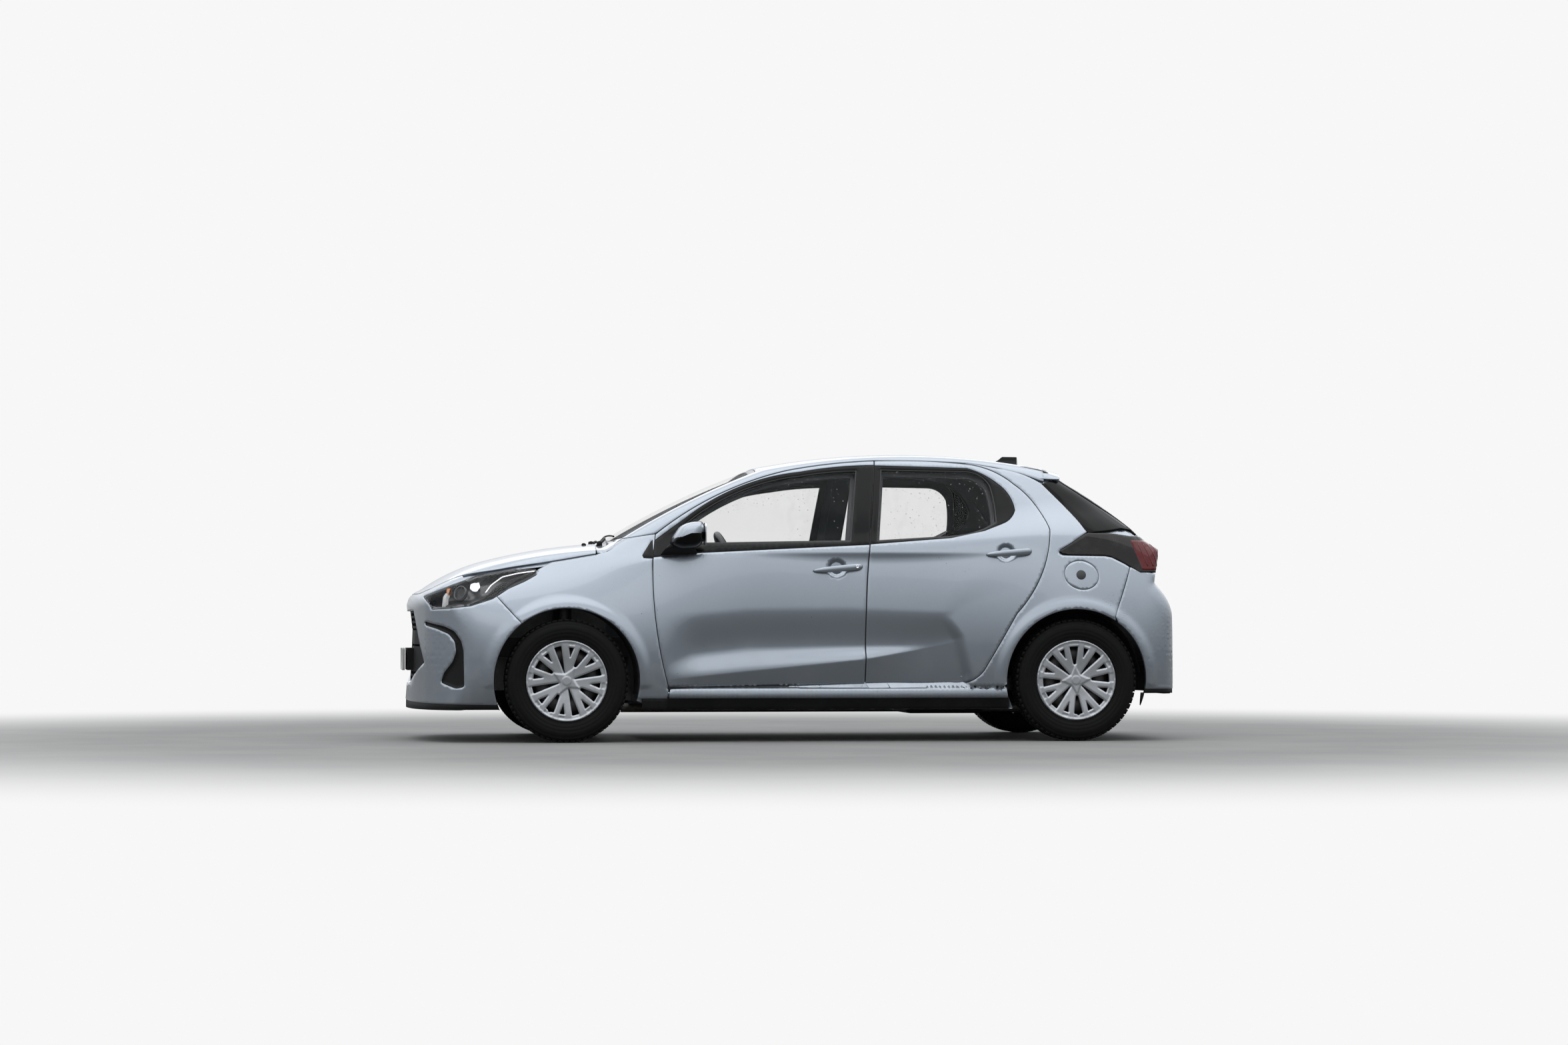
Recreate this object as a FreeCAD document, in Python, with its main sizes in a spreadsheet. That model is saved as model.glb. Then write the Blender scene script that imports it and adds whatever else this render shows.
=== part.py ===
# A small five-door hatchback, built as its panels, glass, cabin, running gear and wheels.
# Lengths are in millimetres. X runs from the nose to the tail, Y to the car's right, Z up.
# The origin lies on the ground, in the middle of the overall length and width.

import FreeCAD, Part
import Sketcher
import os
from math import cos, radians, sin
from types import SimpleNamespace
from FreeCAD import Rotation, Vector

os.makedirs("parts", exist_ok=True)
doc = FreeCAD.newDocument("hatchback")
sheet = doc.addObject("Spreadsheet::Sheet", "sizes")

SIZES = {
    # stance
    "wheelbase": 2560,
    "front_overhang": 798,
    "rear_overhang": 582,
    "track": 1530,
    "hub_height": 306,
    # tyres and wheels
    "tyre_radius": 306,
    "tyre_width": 185,
    "seat_play": 0.3,
    "bead_play": 0.9,
    "rim_radius": 202,
    "rim_width": 150,
    "rim_wall": 8,
    "cover_depth": 12,
    "hub_radius": 62,
    "hub_depth": 20,
    "slot_inner": 78,
    "slot_outer": 162,
    "wide_slot": 46,
    "narrow_slot": 24,
    # wheel housings
    "front_arch_radius": 362,
    "rear_arch_radius": 358,
    "front_housing_inner": 480,
    "rear_housing_inner": 545,
    "liner_wall": 6,
    # shell walls
    "door_wall": 90,
    "frame_wall": 45,
    "sill_wall": 150,
    "rail_wall": 92,
    "skin_wall": 22,
    "door_skin": 12,
    "door_hem": 18,
    "roof_wall": 34,
    "hood_wall": 26,
    "tailgate_wall": 60,
    "gate_hem": 20,
    "glass_wall": 5,
    "panel_gap": 6,
    "seam_gap": 0.4,
    "seal_lap": 42,
    # nose openings and lamps
    "lamp_inner": 600,
    "mouth_bottom": 283,
    "mouth_top": 655,
    # fuel flap on the left
    "flap_length": 174,
    "flap_height": 142,
    "flap_tilt": 12,
    "flap_behind_axle": 30,
    "flap_level": 833,
    "flap_inner": 772,
    # levels
    "floor_level": 190,
    "floor_wall": 24,
    "sill_bottom": 160,
    "spare_below": 20,
    "bulkhead_behind_axle": 386,
    "boot_floor_level": 400,
    "crown_radius": 4500,
    "roof_height": 1466,
    # cabin
    "seat_width": 480,
    "seat_offset": 370,
    "bench_width": 1060,
    "dash_width": 1240,
    "wheel_rim_radius": 182,
    "wheel_grip_radius": 15,
    "wheel_tilt": 25,
    # plates and small pieces
    "plate_width": 520,
    "plate_height": 112,
    "plate_wall": 8,
    "plate_block": 20,
    "plate_level": 354,
    "bar_depth": 16,
    "bar_lap": 16,
    "mirror_depth": 130,
    "mirror_behind_axle": 600,
    "spoiler_turn": 5.1,
    "fin_wall": 14,
    # engine bay
    "engine_length": 560,
    "engine_width": 620,
    "engine_height": 430,
    "rail_width": 60,
    "rail_height": 100,
    "rail_offset": 445,
    # axles
    "pin_play": 0.4,
    "pin_lean": 13,
    "pin_inset": 75,
    "strut_top": 672,
    "strut_foot": 196,
    "stub_inset": 100,
    "stub_length": 142,
    "steering_arm": 130,
    "tower_outer": 650,
    "tower_gap": 1,
    "beam_radius": 34,
    "beam_ahead": 170,
    "arm_inset": 165,
    "arm_width": 60,
    "arm_length": 350,
    "stub_reach": 42,
    "stub_radius": 26,
    "strut_radius": 27,
    "tank_length": 400,
    "tank_width": 900,
    "tank_height": 110,
    "exhaust_radius": 24,
    "muffler_radius": 85,
}
for row, (name, value) in enumerate(SIZES.items(), start=1):
    sheet.set(f"A{row}", name)
    sheet.set(f"B{row}", str(value))
    sheet.setAlias(f"B{row}", name)
doc.recompute()
size = SimpleNamespace(**{name: float(sheet.get(name)) for name in SIZES})

front = size.front_overhang - (size.wheelbase + size.front_overhang + size.rear_overhang) / 2
rear = front + size.wheelbase
FRONT_X = "(sizes.front_overhang - sizes.wheelbase - sizes.rear_overhang) / 2"
REAR_X = "(sizes.front_overhang + sizes.wheelbase - sizes.rear_overhang) / 2"


class Bound:
    """A length together with the sheet expression that drives it."""

    def __init__(self, value, text):
        self.value = value
        self.text = text

    def mix(self, other, sign, value, flip=False):
        text = other.text if isinstance(other, Bound) else str(other)
        pair = (text, self.text) if flip else (self.text, text)
        return Bound(value, f"({pair[0]} {sign} {pair[1]})")

    def __add__(self, other):
        return self.mix(other, "+", self.value + plain(other))

    def __sub__(self, other):
        return self.mix(other, "-", self.value - plain(other))

    def __rsub__(self, other):
        return self.mix(other, "-", plain(other) - self.value, flip=True)

    def __mul__(self, other):
        return self.mix(other, "*", self.value * plain(other))

    def __truediv__(self, other):
        return self.mix(other, "/", self.value / plain(other))

    def __neg__(self):
        return Bound(-self.value, f"(0 - {self.text})")

    __radd__ = __add__
    __rmul__ = __mul__


def plain(length):
    return length.value if isinstance(length, Bound) else float(length)


bound = SimpleNamespace(**{name: Bound(getattr(size, name), f"sizes.{name}") for name in SIZES})
front_bound = Bound(front, f"({FRONT_X})")
rear_bound = Bound(rear, f"({REAR_X})")
finished = {}


def bind(item, prop, length):
    """Set a property of an object, and tie it to the sheet when it comes from there."""
    if isinstance(length, Bound):
        item.setExpression(prop, length.text)
    else:
        head, _, tail = prop.rpartition(".")
        if head == "Placement.Base":
            place = item.Placement
            setattr(place.Base, tail, length)
            item.Placement = place
        else:
            setattr(item, prop, length)


def seat(item, x=0, y=0, z=0, rotation=None):
    """Put an object at its place in the car."""
    if rotation is not None:
        item.Placement = FreeCAD.Placement(Vector(), rotation)
    for axis, length in (("x", x), ("y", y), ("z", z)):
        bind(item, f"Placement.Base.{axis}", length)
    return item


def keep(label, item):
    """Name an object as a sub-part that is written to a file of its own."""
    item.Label = label
    finished[label] = item
    return item


def add_feature(label, shape):
    """A sub-part whose form comes from surfaces that the workbenches don't offer."""
    item = doc.addObject("Part::Feature", label)
    item.Shape = shape
    return keep(label, item)


def edges_along(plane, start, *steps):
    """Closed edges: a step of two numbers is a line's end, one of four an arc's middle and end."""
    place = {
        "XZ": lambda a, b: Vector(a, 0, b),
        "XY": lambda a, b: Vector(a, b, 0),
        "YZ": lambda a, b: Vector(0, a, b),
    }[plane]
    edges = []
    here = start
    for step in steps + (start,):
        end = step[-2:]
        if len(step) == 4:
            edges.append(Part.Arc(place(*here), place(*step[:2]), place(*end)).toShape())
        elif max(abs(here[0] - end[0]), abs(here[1] - end[1])) > 1e-6:
            edges.append(Part.makeLine(place(*here), place(*end)))
        here = end
    return edges


def outline(plane, *steps):
    return Part.Wire(edges_along(plane, *steps))


def inwards(direction):
    """To the right of a direction on the XZ plane, which is inwards on a clockwise profile."""
    return Vector(direction.z, 0, -direction.x)


def shrink(edges, wall):
    """A clockwise profile on the XZ plane, moved inwards by a wall with its arcs kept as arcs."""
    corners = []
    for before, edge in zip([edges[-1]] + edges[:-1], edges):
        first = inwards(before.tangentAt(before.LastParameter))
        second = inwards(edge.tangentAt(edge.FirstParameter))
        corner = edge.valueAt(edge.FirstParameter)
        corners.append(corner + (first + second) * (wall / (1 + first.dot(second))))
    moved_edges = []
    for edge, start, end in zip(edges, corners, corners[1:] + corners[:1]):
        half = (edge.FirstParameter + edge.LastParameter) / 2
        middle = edge.valueAt(half) + inwards(edge.tangentAt(half)) * wall
        straight = isinstance(edge.Curve, Part.Line)
        moved_edges.append(Part.makeLine(start, end) if straight
                           else Part.Arc(start, middle, end).toShape())
    return moved_edges


def moved(steps, shift):
    """The same steps, moved along X: their first and third numbers are places along X."""
    return [tuple(v + shift if i % 2 == 0 else v for i, v in enumerate(step)) for step in steps]


def facing(wire, direction):
    """The face inside a wire, turned so that its normal points along a direction."""
    face = Part.Face(wire)
    if face.normalAt(0, 0).dot(direction) < 0:
        face.reverse()
    return face


def slab(plane, steps, low, high, grow=0.0):
    """An outline drawn on one plane, grown by a margin and extruded from low to high."""
    wire = outline(plane, *steps)
    if grow:
        wire = wire.makeOffset2D(grow)
    across = {"XZ": Vector(0, 1, 0), "XY": Vector(0, 0, 1), "YZ": Vector(1, 0, 0)}[plane]
    face = facing(wire, across)
    face.translate(across * low)
    return face.extrude(across * (high - low))


def block(x0, x1, y0, y1, z0, z1):
    return Part.makeBox(x1 - x0, y1 - y0, z1 - z0, Vector(x0, y0, z0))


def both_sides(shape):
    """The left piece with its mirror image on the right."""
    return Part.makeCompound([shape, mirror_right(shape)])


def mirror_right(shape):
    return shape.mirror(Vector(0, 0, 0), Vector(0, 1, 0))


# The body's outer form: a lower body, a glasshouse and a crowned top surface.

# name of the axle, distance behind it, half width at the sill, at the widest line and at the belt, belt height
LOWER_SECTIONS = (
    ("front", -830, 798, 820, 688, 750),
    ("front", -350, 818, 850, 712, 850),
    ("front", 0, 826, 862, 722, 905),
    ("front", 500, 826, 846, 775, 950),
    ("front", 1300, 828, 845, 797, 985),
    ("rear", -460, 832, 858, 786, 1040),
    ("rear", 0, 838, 872, 758, 1085),
    ("rear", 340, 815, 848, 716, 1060),
    ("rear", 594, 770, 800, 680, 1000),
)
WAIST = 620
# name of the axle, distance behind it, half width at the belt and at the roof
GLASSHOUSE_SECTIONS = (
    ("front", 100, 705, 500),
    ("front", 600, 768, 556),
    ("front", 1300, 822, 592),
    ("rear", -460, 815, 575),
    ("rear", 0, 775, 532),
    ("rear", 450, 700, 462),
)
GLASS_FOOT, GLASS_MIDDLE, GLASS_TOP = 880, 1150, 1520
BELT_LEVEL, ROOF_LEVEL = 900, 1420


def along(axle, distance):
    return (front if axle == "front" else rear) + distance


def lower_section(x, sill, waist, belt, belt_height, inset, bottom):
    half = [(sill - inset, bottom), (waist - inset, WAIST, belt - inset, belt_height)]
    shoulder = (belt - inset - 70, belt_height + 70)
    wire = outline(
        "YZ", half[0], half[1], shoulder,
        (0, belt_height + 160, -shoulder[0], shoulder[1]),
        (-(belt - inset), belt_height), (-(waist - inset), WAIST, -(sill - inset), bottom),
    )
    wire.translate(Vector(x, 0, 0))
    return wire


def glass_section(x, belt, roof, inset):
    lean = (belt - roof) / (ROOF_LEVEL - BELT_LEVEL)
    foot = belt + (BELT_LEVEL - GLASS_FOOT) * lean - inset
    top = belt - (GLASS_TOP - BELT_LEVEL) * lean - inset
    middle = belt - (GLASS_MIDDLE - BELT_LEVEL) * lean + 14 - inset
    wire = outline(
        "YZ", (foot, GLASS_FOOT), (middle, GLASS_MIDDLE, top, GLASS_TOP), (-top, GLASS_TOP),
        (-middle, GLASS_MIDDLE, -foot, GLASS_FOOT),
    )
    wire.translate(Vector(x, 0, 0))
    return wire


def top_form(inset):
    """The profile along the middle, from the bumper over hood and roof to the tail, crowned."""
    steps = moved([(-786, -300), (-786, 205), (-774, 300), (-762, 560), (-778, 690),
                   (-752, 735, -705, 762), (-560, 848, -400, 908), (-100, 971, 208, 1003),
                   (618, 1232, 1010, 1395)], front)
    steps += [(front + 1731, size.roof_height, rear - 100, 1400)]
    steps += moved([(2, 1330), (200, 1204, 396, 1046), (456, 1010), (422, 850), (552, 700),
                    (582, 500), (582, -300)], rear)
    face = Part.Face(Part.Wire(shrink(edges_along("XZ", *steps), inset)))
    pivot = Vector(0, 0, -size.crown_radius)
    face.rotate(pivot, Vector(1, 0, 0), -20)
    return face.revolve(pivot, Vector(1, 0, 0), 40)


def plan_form(inset):
    """The outline from above: rounded corners at the nose and tail."""
    half = moved([(-792, 0), (-760, 330, -690, 600), (-560, 780, -280, 890)], front)
    half += moved([(270, 900), (480, 800, 530, 600), (567, 330, 590, 0)], rear)
    other = moved([(567, -330, 530, -600), (480, -800, 270, -900)], rear)
    other += moved([(-280, -890), (-560, -780, -690, -600), (-760, -330, -792, 0)], front)
    wire = outline("XY", *half, *other)
    if inset:
        wire = wire.makeOffset2D(-inset, 2)
    face = facing(wire, Vector(0, 0, 1))
    face.translate(Vector(0, 0, 50))
    return face.extrude(Vector(0, 0, 1600))


def glasshouse(inset):
    return Part.makeLoft(
        [glass_section(along(a, d), *rest, inset) for a, d, *rest in GLASSHOUSE_SECTIONS],
        True, False, False, 3)


def body_form(side, pillar, top, plan, bottom):
    """The body's outside, moved inwards by one wall for each of its parts."""
    crown = top_form(top)
    lower = Part.makeLoft(
        [lower_section(along(a, d), *rest, side, bottom) for a, d, *rest in LOWER_SECTIONS],
        True, False, False, 3)
    return lower.fuse(glasshouse(pillar)).common(crown.common(plan_form(plan)))


outer = body_form(0, 0, 0, 0, size.sill_bottom - size.spare_below)
outer = outer.cut(Part.makeBox(6000, 3000, 400, Vector(-3000, -1500, size.sill_bottom - 400)))
skin = body_form(size.skin_wall, size.skin_wall, size.hood_wall, size.skin_wall, 0)
door_inner = body_form(size.door_wall, size.frame_wall, size.roof_wall, size.tailgate_wall, 0)
door_space = body_form(size.door_wall + size.panel_gap, size.frame_wall + size.panel_gap,
                       size.roof_wall, size.tailgate_wall, 0)
deep = body_form(size.sill_wall, size.rail_wall, size.roof_wall, size.tailgate_wall, 0)
hem = body_form(size.door_skin, size.door_skin, size.door_skin, size.door_skin, 0)
glass_outside = glasshouse(size.door_skin)
glass_inside = glasshouse(size.door_skin + size.glass_wall)
crown = top_form(0)
crown_glass = top_form(size.glass_wall)
crown_roof = top_form(size.roof_wall)

# Outlines on the car's side: places along X and heights.
FRONT_DOOR = moved([(506, 272), (437, 640, 432, 909), (450, 1036), (768, 1237, 1130, 1364),
                    (1350, 1398, 1570, 1415), (1519, 983), (1499, 760, 1493, 600), (1493, 285)], front)
FRONT_WINDOW = moved([(560, 985), (600, 1093), (900, 1268, 1185, 1338), (1330, 1358, 1478, 1366),
                      (1428, 1000)], front)
REAR_DOOR = [(front + 1495, 285), (front + 1495, 600), (front + 1501, 760, front + 1521, 983),
             (front + 1572, 1415)] + moved([(-604, 1409, -496, 1399), (-387, 1367, -277, 1297),
                                            (-190, 1212, -118, 1065), (-150, 900, -304, 640),
                                            (-420, 440, -456, 379), (-522, 309, -629, 289)], rear)
REAR_WINDOW = [(front + 1553, 1000), (front + 1598, 1372)] + moved(
    [(-514, 1365), (-380, 1320, -285, 1200), (-310, 1125, -452, 1062), (-540, 1036, -625, 1024)], rear)
FENDER = moved([(-225, 593), (-342, 724), (-262, 789), (-165, 824), (-136, 858), (-59, 902), (150, 968),
                (260, 1010), (450, 1036), (432, 909), (437, 640, 506, 272), (480, 140), (-225, 140)], front)
HEADLAMP = moved([(-830, 700), (-654, 658), (-480, 672, -334, 731), (-262, 789), (-165, 824), (-136, 858),
                  (-311, 860), (-587, 790), (-830, 760)], front)
NOSE = moved([(-830, 100), (-225, 100), (-225, 593), (-342, 724), (-342, 800), (-830, 800)], front)
TAIL_LAMP = moved([(-58, 959), (-20, 1030, 93, 1060), (200, 1040), (640, 1030), (640, 838), (438, 838),
                   (320, 915, 195, 935), (-32, 943)], rear)
TAIL_SKIRT = moved([(197, 624), (286, 873), (438, 838), (640, 838), (640, 236), (197, 236)], rear)
# Outlines from above: places along X and across.
HOOD_HALF = moved([(-830, 0), (-830, -400), (-660, -545), (-480, -655, -300, -692), (-136, -703), (150, -712),
                   (172, -400, 178, 0)], front)
COWL_HALF = moved([(184, 0), (178, -400, 156, -704), (236, -704), (236, -640), (210, -400, 214, 0)], front)
WINDSCREEN_HALF = moved([(214, 0), (210, -400, 238, -640), (600, -592, 970, -520), (992, -250, 1000, 0)], front)
ROOF_HALF = [(front + 1000, 0), (front + 992, -250, front + 970, -520), (rear - 600, -500, rear - 120, -455),
             (rear - 120, 0)]
# Outlines from ahead or behind: places across and heights.
MOUTH_HALF = [(0, size.mouth_top), (-390, size.mouth_top), (-585, 395), (-270, 287), (0, size.mouth_bottom)]
CURTAIN = [(-735, 560), (-705, 575), (-690, 400), (-700, 330), (-745, 345)]
TAILGATE_HALF = [(0, 1500), (-530, 1500), (-555, 1395), (-578, 1298), (-655, 1072), (-600, 1030), (-556, 935),
                 (-545, 800), (-520, 690), (0, 690)]
REAR_GLASS_HALF = [(0, 1322), (-520, 1306), (-586, 1085), (-540, 1062), (0, 1074)]

AT_LEFT = (-1000, -300)
gap = size.panel_gap / 2
left_box = block(front + 380, rear + 620, -1000, -300, 100, 1600)
left_outer = outer.common(left_box)
left_hem = hem.common(left_box)


def whole(half):
    """A half outline that starts and ends on the middle, with its mirror image."""
    mirrored = []
    ends = [half[0]]
    for step in half[1:]:
        ends.append(step[-2:])
    for index in range(len(half) - 1, 0, -1):
        step = half[index]
        target = ends[index - 1]
        mirrored.append(step[:2] + target if len(step) == 4 else target)
    return half, mirrored


def symmetric(plane, half, low, high, grow=0.0):
    """A slab whose outline is a half and its mirror image across the car's middle."""
    turn = (lambda step: step[:1] + (-step[1],) + (step[2:3] + (-step[3],) if len(step) == 4 else ())
            ) if plane == "XY" else (lambda step: (-step[0],) + step[1:2] + ((-step[2],) + step[3:]
                                                                           if len(step) == 4 else ()))
    steps, back = whole(half)
    return slab(plane, list(steps) + [turn(step) for step in back], low, high, grow)


def make_door(steps, window):
    """A door: its outer skin overhangs the box behind it, and the window is cut through."""
    full = slab("XZ", steps, *AT_LEFT, grow=-gap)
    narrow = slab("XZ", steps, *AT_LEFT, grow=-gap - size.door_hem)
    door = left_outer.common(full).cut(door_inner)
    door = door.cut(left_hem.common(full.cut(narrow)))
    return door.cut(slab("XZ", window, *AT_LEFT))


def make_side_glass(window):
    return glass_outside.common(slab("XZ", window, *AT_LEFT, grow=-size.seam_gap)).cut(glass_inside)


def add_pair(label, shape):
    add_feature(f"{label}_left", shape)
    add_feature(f"{label}_right", mirror_right(shape))


def wheel_space(x, radius, inner, outer_edge=1000):
    """The round space about a left wheel."""
    return Part.makeCylinder(radius, outer_edge - inner, Vector(x, -outer_edge, size.hub_height),
                             Vector(0, 1, 0))


front_space = wheel_space(front, size.front_arch_radius, size.front_housing_inner)
rear_space = wheel_space(rear, size.rear_arch_radius, size.rear_housing_inner)
hood_space = symmetric("XY", HOOD_HALF, 742 - size.panel_gap, 1200, size.panel_gap)
tail_space = symmetric("YZ", TAILGATE_HALF, rear - 120 - size.panel_gap, rear + 700, size.panel_gap)
windscreen_space = symmetric("XY", WINDSCREEN_HALF, 860, 1600, size.seam_gap)
roof_space = symmetric("XY", ROOF_HALF, 1250, 1600, size.seam_gap)

# Doors and their glass
for label, steps, window in (("front", FRONT_DOOR, FRONT_WINDOW), ("rear", REAR_DOOR, REAR_WINDOW)):
    add_pair(f"{label}_door", make_door(steps, window))
    add_pair(f"{label}_glass", make_side_glass(window))

# Body sides: pillars, sill, roof rail and quarter panel in one pressing
def flap_column(grow, inner):
    """The column of the fuel flap's outline, from outside the car to a depth."""
    ring = Part.Ellipse(Vector(0, 0, 0), size.flap_length / 2 + grow, size.flap_height / 2 + grow)
    column = Part.Face(Part.Wire(ring.toShape())).extrude(Vector(0, 0, 1000 - inner))
    column.rotate(Vector(0, 0, 0), Vector(1, 0, 0), -90)
    column.rotate(Vector(0, 0, 0), Vector(0, 1, 0), size.flap_tilt)
    column.translate(Vector(rear + size.flap_behind_axle, -1000, size.flap_level))
    return column


side = left_outer.cut(deep)
side = side.cut(slab("XZ", FENDER, *AT_LEFT, grow=size.seam_gap).cut(skin))
for steps in (FRONT_DOOR, REAR_DOOR):
    side = side.cut(slab("XZ", steps, *AT_LEFT, grow=gap).cut(door_space))
    side = side.cut(slab("XZ", steps, *AT_LEFT, grow=-size.seal_lap))
side = side.cut(slab("XZ", TAIL_LAMP, *AT_LEFT, grow=size.seam_gap).cut(door_inner))
side = side.cut(slab("XZ", TAIL_SKIRT, *AT_LEFT, grow=size.seam_gap))
side = side.cut(block(rear, rear + 620, -1000, -300, 100, TAIL_SKIRT[-1][1] + 10))
for space in (rear_space, hood_space, tail_space, windscreen_space, roof_space):
    side = side.cut(space)
side = side.cut(block(front + 380, front + 600, -1000, -300, 100, 200))
flap = left_outer.common(flap_column(0, size.flap_inner)).cut(skin)
side_left = side.cut(flap_column(size.panel_gap, size.flap_inner))
add_feature("fuel_flap", flap)
add_feature("body_sides", Part.makeCompound([side_left, mirror_right(side)]))

# Nose panels
nose_box = block(front - 830, front + 520, -1000, 0, 100, 1200)
nose_shell = outer.common(nose_box).cut(skin)
lamp_slab = slab("XZ", HEADLAMP, -1000, -size.lamp_inner)
fender = nose_shell.common(slab("XZ", FENDER, *AT_LEFT)).cut(lamp_slab).cut(hood_space).cut(front_space)
fender = fender.cut(slab("XZ", FRONT_DOOR, *AT_LEFT, grow=gap)).cut(windscreen_space)
add_feature("front_fenders", both_sides(fender))
lamp = outer.common(lamp_slab).cut(door_inner).cut(hood_space)
add_feature("headlamps", both_sides(lamp))
nose = nose_shell.common(slab("XZ", NOSE, -1000, 0))
nose = nose.cut(slab("XZ", HEADLAMP, -1000, -size.lamp_inner + size.seam_gap, size.seam_gap))
nose = nose.cut(hood_space).cut(front_space)
nose = nose.cut(symmetric("YZ", MOUTH_HALF, front - 830, front - 560))
nose = nose.cut(slab("YZ", CURTAIN, front - 830, front - 480))
nose = max(nose.Solids, key=lambda solid: solid.Volume)
add_feature("front_bumper", nose.fuse(mirror_right(nose)).removeSplitter())
hood = outer.common(symmetric("XY", HOOD_HALF, 742, 1200)).cut(skin)
add_feature("hood", hood)
add_feature("cowl", outer.common(symmetric("XY", COWL_HALF, 860, 1200, -size.seam_gap)).cut(skin))
add_feature("windscreen", crown.common(symmetric("XY", WINDSCREEN_HALF, 860, 1600)).cut(crown_glass))
add_feature("roof_panel", crown.common(symmetric("XY", ROOF_HALF, 1250, 1600)).cut(crown_roof))

# Tail panels
tail_box = block(rear - 130, rear + 620, -1000, 0, 100, 1600)
tail_slab = symmetric("YZ", TAILGATE_HALF, rear - 120, rear + 700)
tail_core = symmetric("YZ", TAILGATE_HALF, rear - 130, rear + 700, -size.gate_hem)
glass_column = symmetric("YZ", REAR_GLASS_HALF, rear - 60, rear + 700, size.seam_gap)
gate = outer.common(tail_slab).cut(door_inner).cut(glass_column)
gate = gate.cut(hem.cut(block(rear - 200, rear + 700, -1000, 1000, 1380, 1600)).common(tail_slab.cut(tail_core)))
add_feature("tailgate", gate)
add_feature("rear_window", crown.common(symmetric("YZ", REAR_GLASS_HALF, rear - 60, rear + 700))
            .cut(crown_glass))
tail_lamp = outer.common(slab("XZ", TAIL_LAMP, *AT_LEFT)).cut(door_inner).cut(tail_space)
add_feature("tail_lamps", both_sides(tail_lamp))
skirt = outer.common(tail_box).cut(skin).common(slab("XZ", TAIL_SKIRT, -1000, 0))
skirt = skirt.cut(tail_space).cut(rear_space)
add_feature("rear_bumper", skirt.fuse(mirror_right(skirt)).removeSplitter())

# Pieces with flat and turned forms, built as bodies from sketches.

def add_body(label):
    return keep(label, doc.addObject("PartDesign::Body", label))


def add_sketch(body, name, role, corners=(), circles=()):
    """A closed outline of lines and some circles, whose places are tied to the sheet."""
    sketch = body.newObject("Sketcher::SketchObject", f"{body.Label}_{name}")
    plane = next(item for item in body.Origin.OriginFeatures if item.Role == role)
    sketch.AttachmentSupport = [(plane, "")]
    sketch.MapMode = "FlatFace"
    count = len(corners)
    spots = [Vector(plain(a), plain(b), 0) for a, b in corners]
    for index in range(count):
        sketch.addGeometry(Part.LineSegment(spots[index], spots[(index + 1) % count]), False)
    for index in range(count):
        sketch.addConstraint(Sketcher.Constraint("Coincident", index, 2, (index + 1) % count, 1))
    for index, corner in enumerate(corners):
        place_point(sketch, index, 1, *corner)
    for a, b, radius in circles:
        circle = Part.Circle(Vector(plain(a), plain(b), 0), Vector(0, 0, 1), plain(radius))
        index = sketch.addGeometry(circle, False)
        place_point(sketch, index, 3, a, b)
        tie(sketch, Sketcher.Constraint("Radius", index, plain(radius)), radius)
    return sketch


def tie(sketch, constraint, length):
    index = sketch.addConstraint(constraint)
    if isinstance(length, Bound):
        sketch.setExpression(f"Constraints[{index}]", length.text)


def place_point(sketch, index, end, a, b):
    for kind, axis, length in (("DistanceX", -2, a), ("DistanceY", -1, b)):
        if plain(length) == 0:
            sketch.addConstraint(Sketcher.Constraint("PointOnObject", index, end, axis))
        else:
            tie(sketch, Sketcher.Constraint(kind, -1, 1, index, end, plain(length)), length)


def add_pad(body, sketch, length):
    pad = body.newObject("PartDesign::Pad", f"{sketch.Label}_pad")
    pad.Profile = sketch
    bind(pad, "Length", length)
    pad.SideType = "Symmetric"
    return pad


def add_revolution(body, sketch):
    turned = body.newObject("PartDesign::Revolution", f"{sketch.Label}_turned")
    turned.Profile = sketch
    turned.ReferenceAxis = (sketch, ["V_Axis"])
    turned.Angle = 360
    return turned


def add_fillet(body, base, radius, wanted):
    """Round the edges of the last feature that a test picks."""
    doc.recompute()
    edges = [f"Edge{i}" for i, edge in enumerate(base.Shape.Edges, start=1) if wanted(edge)]
    fillet = body.newObject("PartDesign::Fillet", f"{base.Label}_round")
    fillet.Base = (base, edges)
    bind(fillet, "Radius", radius)
    return fillet


def add_slots(body, sketch, count):
    """A cut through the whole body, repeated around the wheel's axis."""
    cut = body.newObject("PartDesign::Pocket", f"{sketch.Label}_cut")
    cut.Profile = sketch
    cut.Type = "ThroughAll"
    cut.SideType = "Symmetric"
    doc.recompute()
    return add_pattern(body, cut, sketch, count)


def add_pattern(body, feature, sketch, count):
    """Copies of a cut around the body's own Y axis."""
    pattern = body.newObject("PartDesign::PolarPattern", f"{feature.Label}_round")
    pattern.Originals = [feature]
    pattern.Axis = (sketch, ["N_Axis"])
    pattern.Angle = 360
    pattern.Occurrences = count
    body.Tip = pattern
    return pattern


def turned(radial, sideways, degrees):
    """A point of a slot that points along an angle, as places along and across the sketch."""
    angle = radians(degrees)
    return radial * cos(angle) - sideways * sin(angle), radial * sin(angle) + sideways * cos(angle)


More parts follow.
